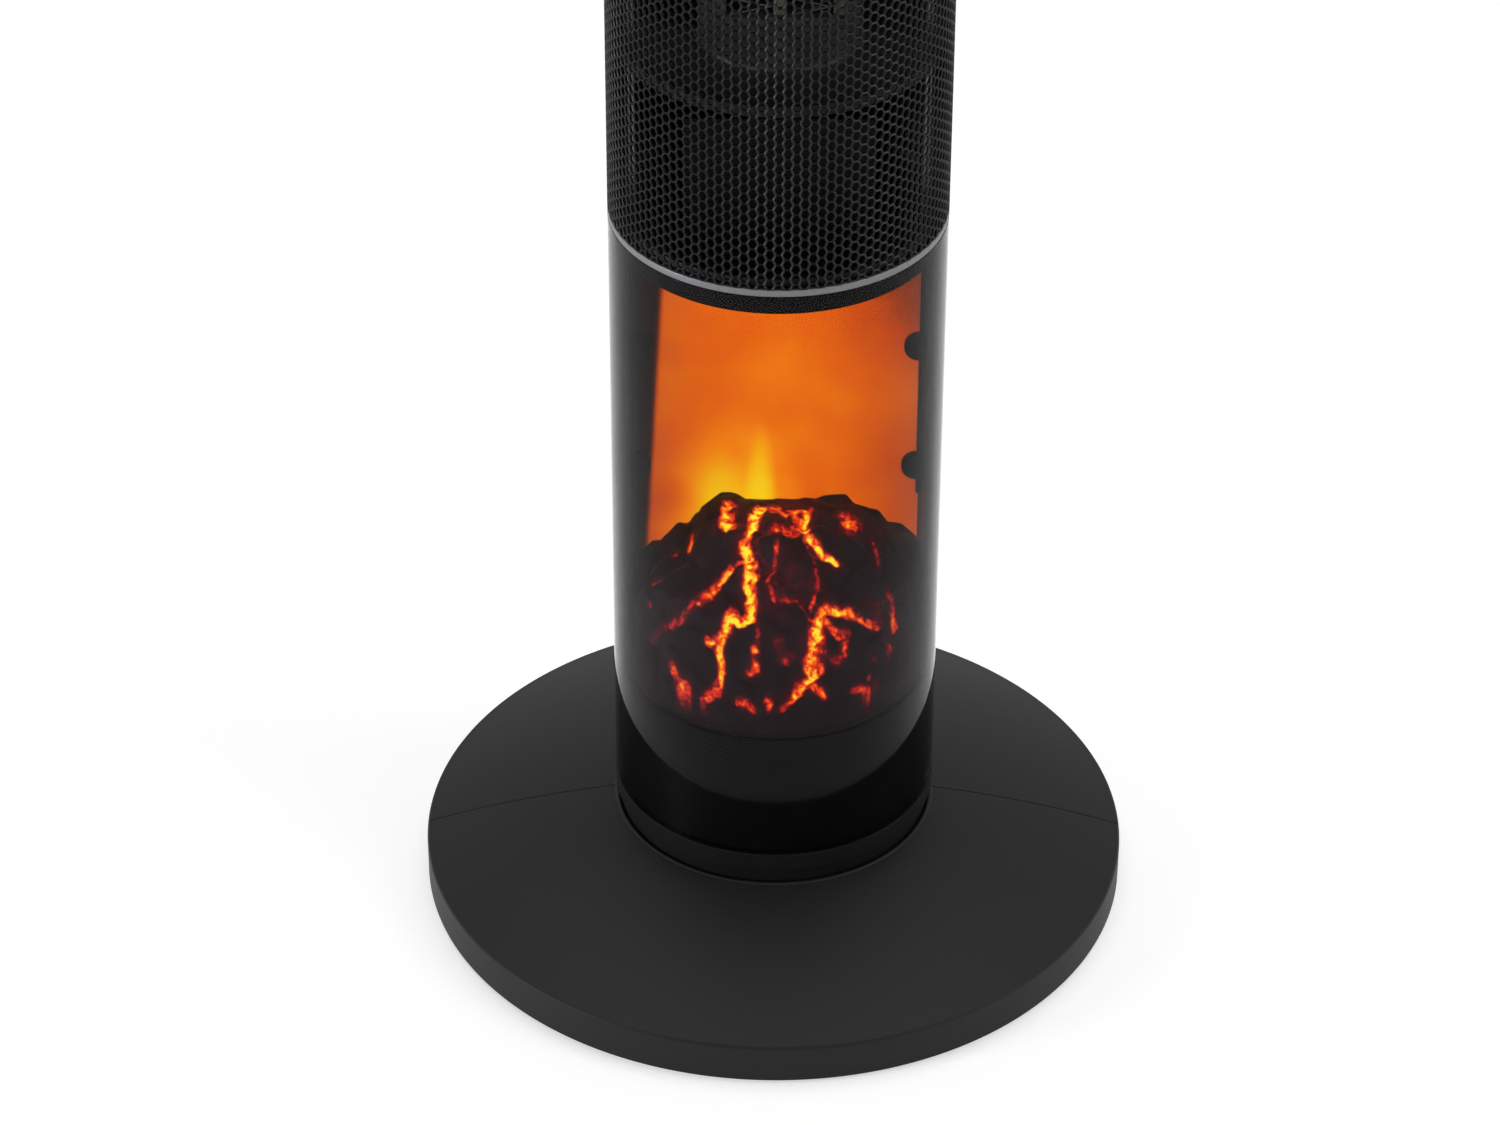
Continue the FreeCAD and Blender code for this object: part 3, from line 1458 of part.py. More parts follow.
# Every feature is sound before anything is written
doc.recompute()
for item in doc.Objects:
    if "Invalid" in item.State or "Error" in item.State:
        raise RuntimeError(f"{item.Name} of {item.Label} failed: {item.State}")
for item in pieces:
    if item.Shape.isNull() or not item.Shape.isValid() or not item.Shape.Solids:
        raise RuntimeError(f"{item.Label} is not a sound solid")

os.makedirs("parts", exist_ok=True)
for item in pieces:
    item.Shape.exportStep(f"parts/{item.Label}.step")
    print(item.Label, len(item.Shape.Solids), round(item.Shape.Volume))
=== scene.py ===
import json
import math

import bpy
import numpy as np
from mathutils import Matrix, Vector, noise


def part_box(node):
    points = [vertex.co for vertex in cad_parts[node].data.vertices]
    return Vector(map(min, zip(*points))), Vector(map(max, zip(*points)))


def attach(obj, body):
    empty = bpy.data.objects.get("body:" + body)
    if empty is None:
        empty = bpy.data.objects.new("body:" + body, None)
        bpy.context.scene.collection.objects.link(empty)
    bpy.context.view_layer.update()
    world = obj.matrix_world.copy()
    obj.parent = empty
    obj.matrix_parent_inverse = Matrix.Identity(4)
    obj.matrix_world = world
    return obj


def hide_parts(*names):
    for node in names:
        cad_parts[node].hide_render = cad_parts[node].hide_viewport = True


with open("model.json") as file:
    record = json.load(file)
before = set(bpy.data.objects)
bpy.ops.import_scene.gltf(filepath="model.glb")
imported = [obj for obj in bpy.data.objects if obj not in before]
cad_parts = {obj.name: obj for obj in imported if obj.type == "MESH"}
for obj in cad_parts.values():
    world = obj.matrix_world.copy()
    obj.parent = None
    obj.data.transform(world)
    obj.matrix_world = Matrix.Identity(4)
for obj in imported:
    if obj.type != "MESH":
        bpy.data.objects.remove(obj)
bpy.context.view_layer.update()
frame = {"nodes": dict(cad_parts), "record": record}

# A ceramic tower fan heater: domed base, clear tube with a lit ember scene, perforated sleeve, cap with keys.
# Metres, in the frame of the CAD model. Heights and radii come from the CAD nodes.

MM = 0.001


def foot_of(node):
    """Lowest height of a CAD node."""
    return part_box(node)[0][2]


def top_of(node):
    """Greatest height of a CAD node."""
    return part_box(node)[1][2]


def reach_of(node):
    """How far a CAD node reaches along X, which is the radius of a round one."""
    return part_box(node)[1][0]


TOWER_R = reach_of("flame_tube")
TUBE_FOOT = foot_of("flame_tube")
TUBE_TOP = top_of("flame_tube")
TUBE_WALL = 2.5 * MM
BASE_R = reach_of("base_front_half")
BASE_FOOT = foot_of("base_front_half")
LIP_TOP = top_of("base_front_half")
INNER_R = reach_of("plinth_drum")
BED_FOOT = foot_of("ember_bed")
BED_R = reach_of("ember_bed")
BED_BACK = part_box("ember_bed")[1][1]
SLEEVE_FOOT = foot_of("front_grille")
SLEEVE_TOP = top_of("front_grille")
CAP_TOP = top_of("top_cap")

ROUND_STEPS = 240
WELD = 0.002 * MM
SHARP = math.radians(35)
EDGE_SEGMENTS = 3
FINE_EDGE = 0.3 * MM
TRIM_EDGE = 0.5 * MM

# Noise values between which most of a noise pattern lies, and the make of the noises of a plain finish
NOISE_LOW = 0.3
NOISE_HIGH = 0.7
LUMP_DETAIL = 4.0
GRAIN_DETAIL = 2.0
GRAIN_STRENGTH = 0.5


# Looks

def linear(hex_colour):
    """Linear colour of an sRGB hex value."""
    parts = [int(hex_colour[at:at + 2], 16) / 255 for at in (1, 3, 5)]
    return tuple(c / 12.92 if c <= 0.04045 else ((c + 0.055) / 1.055) ** 2.4 for c in parts) + (1.0,)


def add_node(tree, kind, values=None, links=None, stops=None, **settings):
    """Adds a node with its settings, socket values, ramp colours and the links into it."""
    node = tree.nodes.new(kind)
    for name, setting in settings.items():
        setattr(node, name, setting)
    for socket, amount in (values or {}).items():
        node.inputs[socket].default_value = amount
    for socket, source in (links or {}).items():
        tree.links.new(source, node.inputs[socket])
    for number, (position, hex_colour) in enumerate(stops or ()):
        if number > 1:
            node.color_ramp.elements.new(position)
        node.color_ramp.elements[number].position = position
        node.color_ramp.elements[number].color = linear(hex_colour)
    return node


def new_material(name, **sockets):
    """A material of one principled shader, with its plain values set on the sockets."""
    material = bpy.data.materials.new(name)
    material.use_nodes = True
    shader = material.node_tree.nodes["Principled BSDF"]
    for socket, amount in sockets.items():
        shader.inputs[socket.replace("_", " ")].default_value = amount
    return material, material.node_tree, shader


def surface_pattern(tree, shader, colours, rough, size, bump, depth):
    """Uneven colour and roughness in lumps of one size, under a grain of the size bump and its depth."""
    place = add_node(tree, "ShaderNodeTexCoord")
    lumps = add_node(tree, "ShaderNodeTexNoise", {"Scale": 1 / size, "Detail": LUMP_DETAIL},
                     {"Vector": place.outputs["Object"]})
    stops = ((NOISE_LOW, colours[0]), (NOISE_HIGH, colours[1]))
    tint = add_node(tree, "ShaderNodeValToRGB", links={"Fac": lumps.outputs["Fac"]}, stops=stops)
    tree.links.new(tint.outputs["Color"], shader.inputs["Base Color"])
    gloss = add_node(tree, "ShaderNodeMapRange", {"To Min": rough[0], "To Max": rough[1]},
                     {"Value": lumps.outputs["Fac"]})
    tree.links.new(gloss.outputs["Result"], shader.inputs["Roughness"])
    grain = add_node(tree, "ShaderNodeTexNoise", {"Scale": 1 / bump, "Detail": GRAIN_DETAIL},
                     {"Vector": place.outputs["Object"]})
    relief = add_node(tree, "ShaderNodeBump", {"Strength": GRAIN_STRENGTH, "Distance": depth},
                      {"Height": grain.outputs["Fac"]})
    tree.links.new(relief.outputs["Normal"], shader.inputs["Normal"])
    return place, tint


def plain_finish(name, colours, rough, size=8 * MM, bump=0.6 * MM, depth=0.02 * MM, **sockets):
    """A material that is a surface pattern on a principled shader with plain values."""
    material, tree, shader = new_material(name, **sockets)
    surface_pattern(tree, shader, colours, rough, size, bump, depth)
    return material


# Injection moulded ABS of the base: a near-black, fine spark grain that scatters light into a soft sheen,
# with faint handling smudges
base_abs = plain_finish("moulded_abs_base", ("#161617", "#1a1a1b"), rough=(0.5, 0.6), size=45 * MM,
                        bump=0.7 * MM, depth=0.03 * MM, Specular_IOR_Level=0.25)
# The same plastic on the neck and foot ring, finer, and painted darker than the base as painted shade under
# the tower, so it reads as a shadow line
neck_abs = plain_finish("satin_abs_neck_painted_shade", ("#0e0e0e", "#131313"), rough=(0.5, 0.6), size=20 * MM,
                        Specular_IOR_Level=0.15)
# Moulded rubber: dull, with a slightly mottled skin
foot_rubber = plain_finish("moulded_rubber", ("#161616", "#1e1e1e"), rough=(0.75, 0.85), size=3 * MM)
# Zinc plated steel sheet and screws: cool grey metal with a faint crystal mottle
zinc_steel = plain_finish("zinc_plated_steel", ("#a8abae", "#bfc2c4"), rough=(0.32, 0.45), size=3 * MM,
                          Metallic=1.0)
# Acetal gears and washers: off-white, slightly waxy
acetal = plain_finish("machined_acetal", ("#d6d3c8", "#e2dfd6"), rough=(0.35, 0.42), size=6 * MM)
# Drawn steel motor cans: plated, grey and softly mottled
motor_can = plain_finish("plated_motor_can", ("#8d9093", "#a4a7a9"), rough=(0.3, 0.4), size=5 * MM,
                         Metallic=1.0)
# Fibreglass board with black solder mask: nearly black, with a cool cast where copper lies under it
circuit_board = plain_finish("solder_masked_board", ("#07090a", "#0e1213"), rough=(0.55, 0.7), size=4 * MM,
                             Specular_IOR_Level=0.15)
# Vacuum coated flicker vanes: bright, mirror-like
bright_foil = plain_finish("vacuum_coated_foil", ("#d0d2d4", "#e4e6e8"), rough=(0.12, 0.2), size=9 * MM,
                           Metallic=1.0)
# Silver lacquer on the trim ring: fine flakes in a satin coat
silver_paint = plain_finish("silver_lacquer", ("#75777a", "#85878a"), rough=(0.38, 0.46), size=0.8 * MM,
                            bump=0.4 * MM, depth=0.01 * MM, Metallic=0.55)
# Rolled aluminium blades and fins: pale metal, a little dull and uneven
wheel_aluminium = plain_finish("rolled_aluminium", ("#8e9193", "#a3a6a8"), rough=(0.34, 0.46), size=7 * MM,
                               Metallic=1.0)
# Glass filled nylon of the heater frame: dark grey with pale fibre flecks
heater_nylon = plain_finish("glass_filled_nylon", ("#3a3a3a", "#474746"), rough=(0.55, 0.65), size=1.5 * MM)
# Unglazed heater ceramic: chalky, with fine pores
heater_ceramic = plain_finish("unglazed_ceramic", ("#6c675e", "#7e786e"), rough=(0.8, 0.9), size=2 * MM)
# Woven dust filter: dark, dull and coarse; its weave is too fine to show
filter_mesh = plain_finish("woven_filter", ("#141414", "#2a2a2a"), rough=(0.8, 0.9), size=1.2 * MM,
                           bump=1.2 * MM, depth=0.3 * MM)
# Black powder coat on the perforated sheet: fine orange peel with a satin shine on each web
powder_coat = plain_finish("black_powder_coat", ("#0d0d0e", "#131314"), rough=(0.32, 0.44), size=2 * MM,
                           bump=0.8 * MM, depth=0.02 * MM, Specular_IOR_Level=0.27)
# Moulded ABS of the cap, a little smoother than the base
cap_abs = plain_finish("moulded_abs_cap", ("#171718", "#1c1c1d"), rough=(0.46, 0.56), size=40 * MM,
                       bump=0.7 * MM, depth=0.02 * MM, Specular_IOR_Level=0.3)
# Polished black inlay and display window: deep gloss with faint wipe marks
panel_gloss = plain_finish("polished_acrylic_inlay", ("#060607", "#0a0a0b"), rough=(0.06, 0.14),
                           size=25 * MM, Specular_IOR_Level=0.3)
# Satin ABS of the keys: dark grey, so that they stand off the inlay
key_abs = plain_finish("satin_abs_keys", ("#2c2c2d", "#363637"), rough=(0.36, 0.46), size=6 * MM)


# Light that the smoked acrylic takes up per metre: half through the wall, all along it at the tube's sides
SMOKE_DENSITY = 240.0
HAZE_SIZE = 30 * MM
HAZE_ROUGHNESS = 0.03


def clear_acrylic():
    """Polished smoked acrylic: its hard coat faintly mirrors the floor, and more so at the tube's sides."""
    material, tree, shader = new_material("polished_acrylic_tube", Transmission_Weight=1.0, IOR=1.03,
                                          Coat_Weight=0.85, Coat_Roughness=0.0, Coat_IOR=1.17)
    place = add_node(tree, "ShaderNodeTexCoord")
    haze = add_node(tree, "ShaderNodeTexNoise", {"Scale": 1 / HAZE_SIZE, "Detail": 3.0},
                    {"Vector": place.outputs["Object"]})
    gloss = add_node(tree, "ShaderNodeMapRange", {"To Min": 0.0, "To Max": HAZE_ROUGHNESS},
                     {"Value": haze.outputs["Fac"]})
    tree.links.new(gloss.outputs["Result"], shader.inputs["Roughness"])
    shader.inputs["Base Color"].default_value = linear("#f6f2f4")
    smoke = add_node(tree, "ShaderNodeVolumeAbsorption",
                     {"Color": linear("#4a4348"), "Density": SMOKE_DENSITY})
    tree.links.new(smoke.outputs["Volume"], tree.nodes["Material Output"].inputs["Volume"])
    # Lamp light goes straight through the thin wall, so that the scene inside is lit evenly
    ray = add_node(tree, "ShaderNodeLightPath")
    solid = add_node(tree, "ShaderNodeMath", {0: 1.0}, {1: ray.outputs["Is Shadow Ray"]},
                     operation="SUBTRACT")
    tree.links.new(solid.outputs["Value"], shader.inputs["Alpha"])
    return material


# Grit of the lava's rocks, and how far it dims or brightens the glow
GRIT_SIZE = 1.6 * MM
GRIT_DEPTH = 0.04 * MM
FLECK_DIM = 0.45
FLECK_BRIGHT = 1.25


def glowing_lava():
    """Rough cast resin, near black, whose thin places are lit red to yellow from below."""
    material, tree, shader = new_material("cast_lava_resin", Roughness=0.7, Emission_Strength=2.1,
                                          Specular_IOR_Level=0.2)
    place = add_node(tree, "ShaderNodeTexCoord")
    grit = add_node(tree, "ShaderNodeTexNoise", {"Scale": 1 / GRIT_SIZE, "Detail": 4.0, "Roughness": 0.65},
                    {"Vector": place.outputs["Object"]})
    rock = add_node(tree, "ShaderNodeValToRGB", links={"Fac": grit.outputs["Fac"]},
                    stops=((NOISE_LOW, "#302227"), (NOISE_HIGH, "#3e2c32")))
    tree.links.new(rock.outputs["Color"], shader.inputs["Base Color"])
    relief = add_node(tree, "ShaderNodeBump", {"Strength": 0.6, "Distance": GRIT_DEPTH},
                      {"Height": grit.outputs["Fac"]})
    tree.links.new(relief.outputs["Normal"], shader.inputs["Normal"])
    heat = add_node(tree, "ShaderNodeAttribute", attribute_name="lava_heat")
    flecks = add_node(tree, "ShaderNodeMapRange", {"From Min": NOISE_LOW, "From Max": NOISE_HIGH,
                                                   "To Min": FLECK_DIM, "To Max": FLECK_BRIGHT},
                      {"Value": grit.outputs["Fac"]})
    lit = add_node(tree, "ShaderNodeMath", links={0: heat.outputs["Fac"], 1: flecks.outputs["Result"]},
                   operation="MULTIPLY")
    glow = add_node(tree, "ShaderNodeValToRGB", links={"Fac": lit.outputs["Value"]},
                    stops=((0.08, "#000000"), (0.22, "#4a040a"), (0.35, "#cc1408"), (0.48, "#f65000"),
                           (0.62, "#ffa408"), (0.78, "#ffea34")))
    tree.links.new(glow.outputs["Color"], shader.inputs["Emission Color"])
    return material


# Lights on the film: place across and up, half width, half height and how much each adds
FILM_LIGHTS = (
    (-18 * MM, 158 * MM, 32 * MM, 52 * MM, 0.4),
    (-6 * MM, 165 * MM, 7 * MM, 40 * MM, 0.36),
    (-24 * MM, 165 * MM, 10 * MM, 40 * MM, 0.1),
    (0 * MM, 215 * MM, 75 * MM, 110 * MM, 0.12),
    (60 * MM, 318 * MM, 62 * MM, 95 * MM, -0.6),
    (46 * MM, 184 * MM, 24 * MM, 34 * MM, -0.12),
    (-44 * MM, 168 * MM, 14 * MM, 14 * MM, -0.2),
)
FILM_LEVEL = 0.5
FILM_SWAY = 0.05
FILM_DRIFT = 25 * MM
# The film's left edge leans outwards towards its foot; its dark and lit sides are measured at the floor
FILM_LEAN = -0.056
FILM_DARK_EDGE = -62 * MM
FILM_LIT_EDGE = -58 * MM


def glowing_film():
    """Frosted film lit from behind: orange, with a yellow flame low in the middle and dim corners."""
    material, tree, shader = new_material("frosted_flame_film", Roughness=0.6, Emission_Strength=1.95,
                                          Specular_IOR_Level=0.05)
    place = add_node(tree, "ShaderNodeTexCoord")
    drift = add_node(tree, "ShaderNodeTexNoise", {"Scale": 1 / FILM_DRIFT, "Detail": 3.0},
                     {"Vector": place.outputs["Object"]})
    level = add_node(tree, "ShaderNodeMapRange", {"From Min": NOISE_LOW, "From Max": NOISE_HIGH,
                                                  "To Min": FILM_LEVEL - FILM_SWAY,
                                                  "To Max": FILM_LEVEL + FILM_SWAY},
                     {"Value": drift.outputs["Fac"]}).outputs["Result"]
    for across, up, half_width, half_height, amount in FILM_LIGHTS:
        spot = add_node(tree, "ShaderNodeMapping",
                        {"Scale": (1 / half_width, 0, 1 / half_height),
                         "Location": (-across / half_width, 0, -up / half_height)},
                        {"Vector": place.outputs["Object"]})
        fade = add_node(tree, "ShaderNodeTexGradient", links={"Vector": spot.outputs["Vector"]},
                        gradient_type="SPHERICAL")
        level = add_node(tree, "ShaderNodeMath", {1: amount}, {0: fade.outputs["Fac"], 2: level},
                         operation="MULTIPLY_ADD").outputs["Value"]
    across = add_node(tree, "ShaderNodeVectorMath", {1: (1, 0, FILM_LEAN)}, {0: place.outputs["Object"]},
                      operation="DOT_PRODUCT")
    edge = add_node(tree, "ShaderNodeMapRange", {"From Min": FILM_DARK_EDGE, "From Max": FILM_LIT_EDGE},
                    {"Value": across.outputs["Value"]}, interpolation_type="SMOOTHSTEP")
    lit = add_node(tree, "ShaderNodeMath", links={0: level, 1: edge.outputs["Result"]}, operation="MULTIPLY")
    glow = add_node(tree, "ShaderNodeValToRGB", links={"Fac": lit.outputs["Value"]},
                    stops=((0.0, "#1c0a08"), (0.2, "#6e2c08"), (0.4, "#d04c02"), (0.55, "#ea6602"),
                           (0.7, "#fa8802"), (0.85, "#ffb604"), (1.0, "#ffd412")))
    tree.links.new(glow.outputs["Color"], shader.inputs["Emission Color"])
    shader.inputs["Base Color"].default_value = linear("#180a04")
    return material


def inner_plastic():
    """Matte, slightly uneven black polypropylene; above the sleeve's foot, round the heater, it is painted
    dark grey as painted light for the lit inside of the sleeve seen through its holes.
    """
    material, tree, shader = new_material("black_polypropylene_painted_light_in_sleeve", Specular_IOR_Level=0.2)
    place, tint = surface_pattern(tree, shader, ("#0c0a0b", "#120f10"), rough=(0.5, 0.6), size=15 * MM,
                                  bump=4 * MM, depth=0.02 * MM)
    # Painted light: above the sleeve's foot the black gives way to a lighter grey that stands in for light
    # inside the sleeve
    height = add_node(tree, "ShaderNodeSeparateXYZ", links={"Vector": place.outputs["Object"]})
    upper = add_node(tree, "ShaderNodeMath", {1: SLEEVE_FOOT}, {0: height.outputs["Z"]},
                     operation="GREATER_THAN")
    painted_sleeve_light = add_node(tree, "ShaderNodeMixRGB", {"Color2": linear("#343434")},
                     {"Fac": upper.outputs["Value"], "Color1": tint.outputs["Color"]})
    tree.links.new(painted_sleeve_light.outputs["Color"], shader.inputs["Base Color"])
    return material


inner_black = inner_plastic()
tube_acrylic = clear_acrylic()
lava_resin = glowing_lava()
screen_film = glowing_film()

finishes = {
    "base_abs": base_abs, "neck_abs": neck_abs, "foot_rubber": foot_rubber, "zinc_steel": zinc_steel,
    "acetal": acetal, "motor_can": motor_can, "tube_acrylic": tube_acrylic, "inner_black": inner_black,
    "lava_resin": lava_resin, "screen_film": screen_film, "circuit_board": circuit_board,
    "bright_foil": bright_foil, "silver_paint": silver_paint, "grille_steel": powder_coat,
    "wheel_aluminium": wheel_aluminium, "heater_nylon": heater_nylon, "heater_ceramic": heater_ceramic,
    "filter_mesh": filter_mesh, "cap_abs": cap_abs, "panel_gloss": panel_gloss, "key_abs": key_abs,
}
slot_of = {part["node"]: part["material_slot"] for part in frame["record"]["subparts"]}
for node_name, node_object in frame["nodes"].items():
    for material_slot in node_object.material_slots:
        material_slot.material = finishes[slot_of[node_name]]


# Modelling

def active_mesh(name):
    """Names the new primitive and puts its place and size into its mesh."""
    piece = bpy.context.object
    piece.name = name
    piece.data.name = name
    bpy.ops.object.transform_apply(location=True, rotation=True, scale=True)
    return piece


def turn_ring(name, outline, capped=False, steps=ROUND_STEPS):
    """A round piece: a circle at the outline's first point, extruded and scaled from point to point."""
    bpy.ops.object.select_all(action="DESELECT")
    radius, height = outline[0]
    bpy.ops.mesh.primitive_circle_add(vertices=steps, radius=radius, location=(0, 0, height))
    piece = active_mesh(name)
    bpy.ops.object.mode_set(mode="EDIT")
    bpy.ops.mesh.select_all(action="SELECT")
    if capped:
        bpy.ops.mesh.edge_face_add()
    for next_radius, next_height in outline[1:] + ([] if capped else outline[:1]):
        if capped:
            bpy.ops.mesh.extrude_region_move(TRANSFORM_OT_translate={"value": (0, 0, next_height - height)})
        else:
            bpy.ops.mesh.extrude_edges_move(TRANSFORM_OT_translate={"value": (0, 0, next_height - height)})
        scale = next_radius / radius
        bpy.ops.transform.resize(value=(scale, scale, 1), center_override=(0, 0, next_height))
        radius, height = next_radius, next_height
    bpy.ops.mesh.select_all(action="SELECT")
    bpy.ops.mesh.remove_doubles(threshold=WELD)
    bpy.ops.mesh.normals_make_consistent(inside=False)
    bpy.ops.object.mode_set(mode="OBJECT")
    return piece


def cut_away(point, normal):
    """Cuts the active piece by a plane, takes off what lies along the normal and closes the cut."""
    bpy.ops.object.mode_set(mode="EDIT")
    bpy.ops.mesh.select_all(action="SELECT")
    bpy.ops.mesh.bisect(plane_co=point, plane_no=normal, use_fill=True, clear_outer=True)
    bpy.ops.object.mode_set(mode="OBJECT")


def finish_piece(piece, body, nodes, edge=0.0, sharp=SHARP, cutter=None):
    """Rounds the edges, takes off the cutter, evens the shading and sets finish, body and nodes."""
    bpy.ops.object.select_all(action="DESELECT")
    bpy.context.view_layer.objects.active = piece
    piece.select_set(True)
    if edge:
        rounding = piece.modifiers.new("edge", "BEVEL")
        rounding.width = edge
        rounding.segments = EDGE_SEGMENTS
        rounding.limit_method = "ANGLE"
        rounding.angle_limit = SHARP
        bpy.ops.object.modifier_apply(modifier=rounding.name)
    if cutter:
        notch = piece.modifiers.new("notch", "BOOLEAN")
        notch.operation = "DIFFERENCE"
        notch.object = cutter
        bpy.ops.object.modifier_apply(modifier=notch.name)
        bpy.data.objects.remove(cutter)
    bpy.ops.object.shade_smooth_by_angle(angle=sharp)
    if edge:
        even = piece.modifiers.new("even", "WEIGHTED_NORMAL")
        even.keep_sharp = True
        bpy.ops.object.modifier_apply(modifier=even.name)
    slot = slot_of[nodes[0]]
    piece.data.materials.clear()
    piece.data.materials.append(finishes[slot])
    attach(piece, body)
    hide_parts(*nodes)
    return piece


def arc(centre, radius, first, last, steps):
    """Points of an arc in radius and height, between two angles in degrees."""
    points = []
    for step in range(steps + 1):
        angle = math.radians(first + (last - first) * step / steps)
        points.append((centre[0] + radius * math.cos(angle), centre[1] + radius * math.sin(angle)))
    return points


# Base
BASE_WALL = 2.6 * MM
RIM_HEIGHT = 18.3 * MM
RIM_ROUND = 1.5 * MM
RIM_ARC_END = 76
RIM_STEPS = 6
DOME_STEPS = 24
LIP_R = 64.9 * MM
LIP_SLOPE = 0.5 * MM
HOLE_R = 63.9 * MM
SHELF_R = 86 * MM
SHELF_DEPTH = 7.4 * MM
SEAM_GAP = 0.3 * MM
SEAM_EDGE = 0.25 * MM
NOTCH_HALF = 5.6 * MM
NOTCH_DEPTH = 20 * MM
NOTCH_STEPS = 64
CORD_HEIGHT = 8.5 * MM


def dome_arc(first, last, steps):
    """The arc between two points whose centre is on the tower's axis."""
    centre = (first[0] ** 2 + first[1] ** 2 - last[0] ** 2 - last[1] ** 2) / (2 * (first[1] - last[1]))
    angles = [math.degrees(math.atan2(point[1] - centre, point[0])) for point in (first, last)]
    return arc((0, centre), math.hypot(first[0], first[1] - centre), *angles, steps)


def cord_notch():
    """The cutter for the arched notch round the cord gland, open at the skirt's lower edge."""
    bpy.ops.object.select_all(action="DESELECT")
    bpy.ops.mesh.primitive_cylinder_add(vertices=NOTCH_STEPS, radius=NOTCH_HALF, depth=NOTCH_DEPTH,
                                        location=(0, BASE_R, CORD_HEIGHT), rotation=(math.pi / 2, 0, 0))
    cutter = active_mesh("cord_notch")
    for vertex in cutter.data.vertices:
        if vertex.co.z < CORD_HEIGHT - WELD:
            vertex.co.z = BASE_FOOT - BASE_WALL
    return cutter


def base_half(name, side, cutter=None):
    """Half of the domed base shell, in front of the seam or behind it."""
    rim = (BASE_R - RIM_ROUND, RIM_HEIGHT)
    crown = (LIP_R + LIP_SLOPE, LIP_TOP - LIP_SLOPE)
    shelf = LIP_TOP - SHELF_DEPTH
    skirt_inner = BASE_R - BASE_WALL
    outline = [(skirt_inner, BASE_FOOT), (BASE_R, BASE_FOOT)]
    outline += arc((BASE_R - RIM_ROUND, RIM_HEIGHT - RIM_ROUND), RIM_ROUND, 0, RIM_ARC_END, RIM_STEPS)
    outline += dome_arc(rim, crown, DOME_STEPS)
    outline += [(LIP_R, LIP_TOP), (HOLE_R, LIP_TOP), (HOLE_R, shelf), (SHELF_R, shelf)]
    outline += [(skirt_inner, RIM_HEIGHT - BASE_WALL)]
    piece = turn_ring(name, outline, steps=2 * ROUND_STEPS)
    cut_away((0, side * SEAM_GAP / 2, 0), (0, -side, 0))
    return finish_piece(piece, "base", [name], SEAM_EDGE, cutter=cutter)


base_half("base_front_half", -1)
base_half("base_rear_half", 1, cord_notch())

# Neck
TOWER_FOOT = foot_of("foot_ring")
NECK_GAP = 0.3 * MM
NECK_R = 63 * MM
NECK_WALL = 2.5 * MM
NECK_DECK = 3 * MM
WASHER = 1.2 * MM
SPINDLE_R = 13 * MM
SPINDLE_BORE = 10 * MM
HUB_FOOT = foot_of("pivot_hub")
FLANGE_R = reach_of("pivot_hub")


def neck():
    """The fixed neck under the tower, with its flange and spindle."""
    top = TOWER_FOOT - NECK_GAP
    deck = top - WASHER
    outline = [
        (SPINDLE_BORE, deck - NECK_DECK), (NECK_R - NECK_WALL, deck - NECK_DECK),
        (NECK_R - NECK_WALL, HUB_FOOT), (FLANGE_R, HUB_FOOT), (FLANGE_R, LIP_TOP - SHELF_DEPTH),
        (NECK_R, LIP_TOP - SHELF_DEPTH), (NECK_R, top), (NECK_R - NECK_WALL, top), (NECK_R - NECK_WALL, deck),
        (SPINDLE_R, deck), (SPINDLE_R, top_of("pivot_hub")), (SPINDLE_BORE, top_of("pivot_hub")),
    ]
    return finish_piece(turn_ring("pivot_hub", outline), "base", ["pivot_hub"], FINE_EDGE)


neck()

# Lower tower
RING_WALL = 2.8 * MM
RING_LEDGE = 6 * MM
TURNTABLE_BOSS = 6 * MM
TURNTABLE_TOP = top_of("turntable") - TURNTABLE_BOSS
DRUM_WALL = 2 * MM
DRUM_DECK = 2.5 * MM
DRUM_OPENING = 30 * MM
DRUM_EDGE = 0.1 * MM
LINER_WALL = 1.5 * MM
LINER_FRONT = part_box("rear_liner")[0][1]
BEZEL_WALL = 2.2 * MM
COLLAR_TOP = top_of("middle_deck")
MIDDLE_DECK = 3 * MM
WIRE_HOLE = 8 * MM


def foot_ring():
    """The black ring round the tower's foot, with its ledge on the turntable."""
    inner = TOWER_R - RING_WALL
    outline = [
        (inner, TOWER_FOOT), (TOWER_R, TOWER_FOOT), (TOWER_R, TUBE_FOOT), (inner - RING_LEDGE, TUBE_FOOT),
        (inner - RING_LEDGE, TURNTABLE_TOP), (inner, TURNTABLE_TOP),
    ]
    return finish_piece(turn_ring("foot_ring", outline), "tower", ["foot_ring"], FINE_EDGE)


def flame_tube():
    """The clear tube round the scene."""
    inner = TOWER_R - TUBE_WALL
    outline = [(inner, TUBE_FOOT), (TOWER_R, TUBE_FOOT), (TOWER_R, TUBE_TOP), (inner, TUBE_TOP)]
    piece = turn_ring("flame_tube", outline, steps=2 * ROUND_STEPS)
    return finish_piece(piece, "tower", ["flame_tube"], TRIM_EDGE)


def plinth_drum():
    """The black drum in the foot of the tube."""
    top = top_of("plinth_drum")
    outline = [
        (INNER_R - DRUM_WALL, TUBE_FOOT), (INNER_R, TUBE_FOOT), (INNER_R, top), (DRUM_OPENING, top),
        (DRUM_OPENING, top - DRUM_DECK), (INNER_R - DRUM_WALL, top - DRUM_DECK),
    ]
    return finish_piece(turn_ring("plinth_drum", outline), "tower", ["plinth_drum"], DRUM_EDGE)


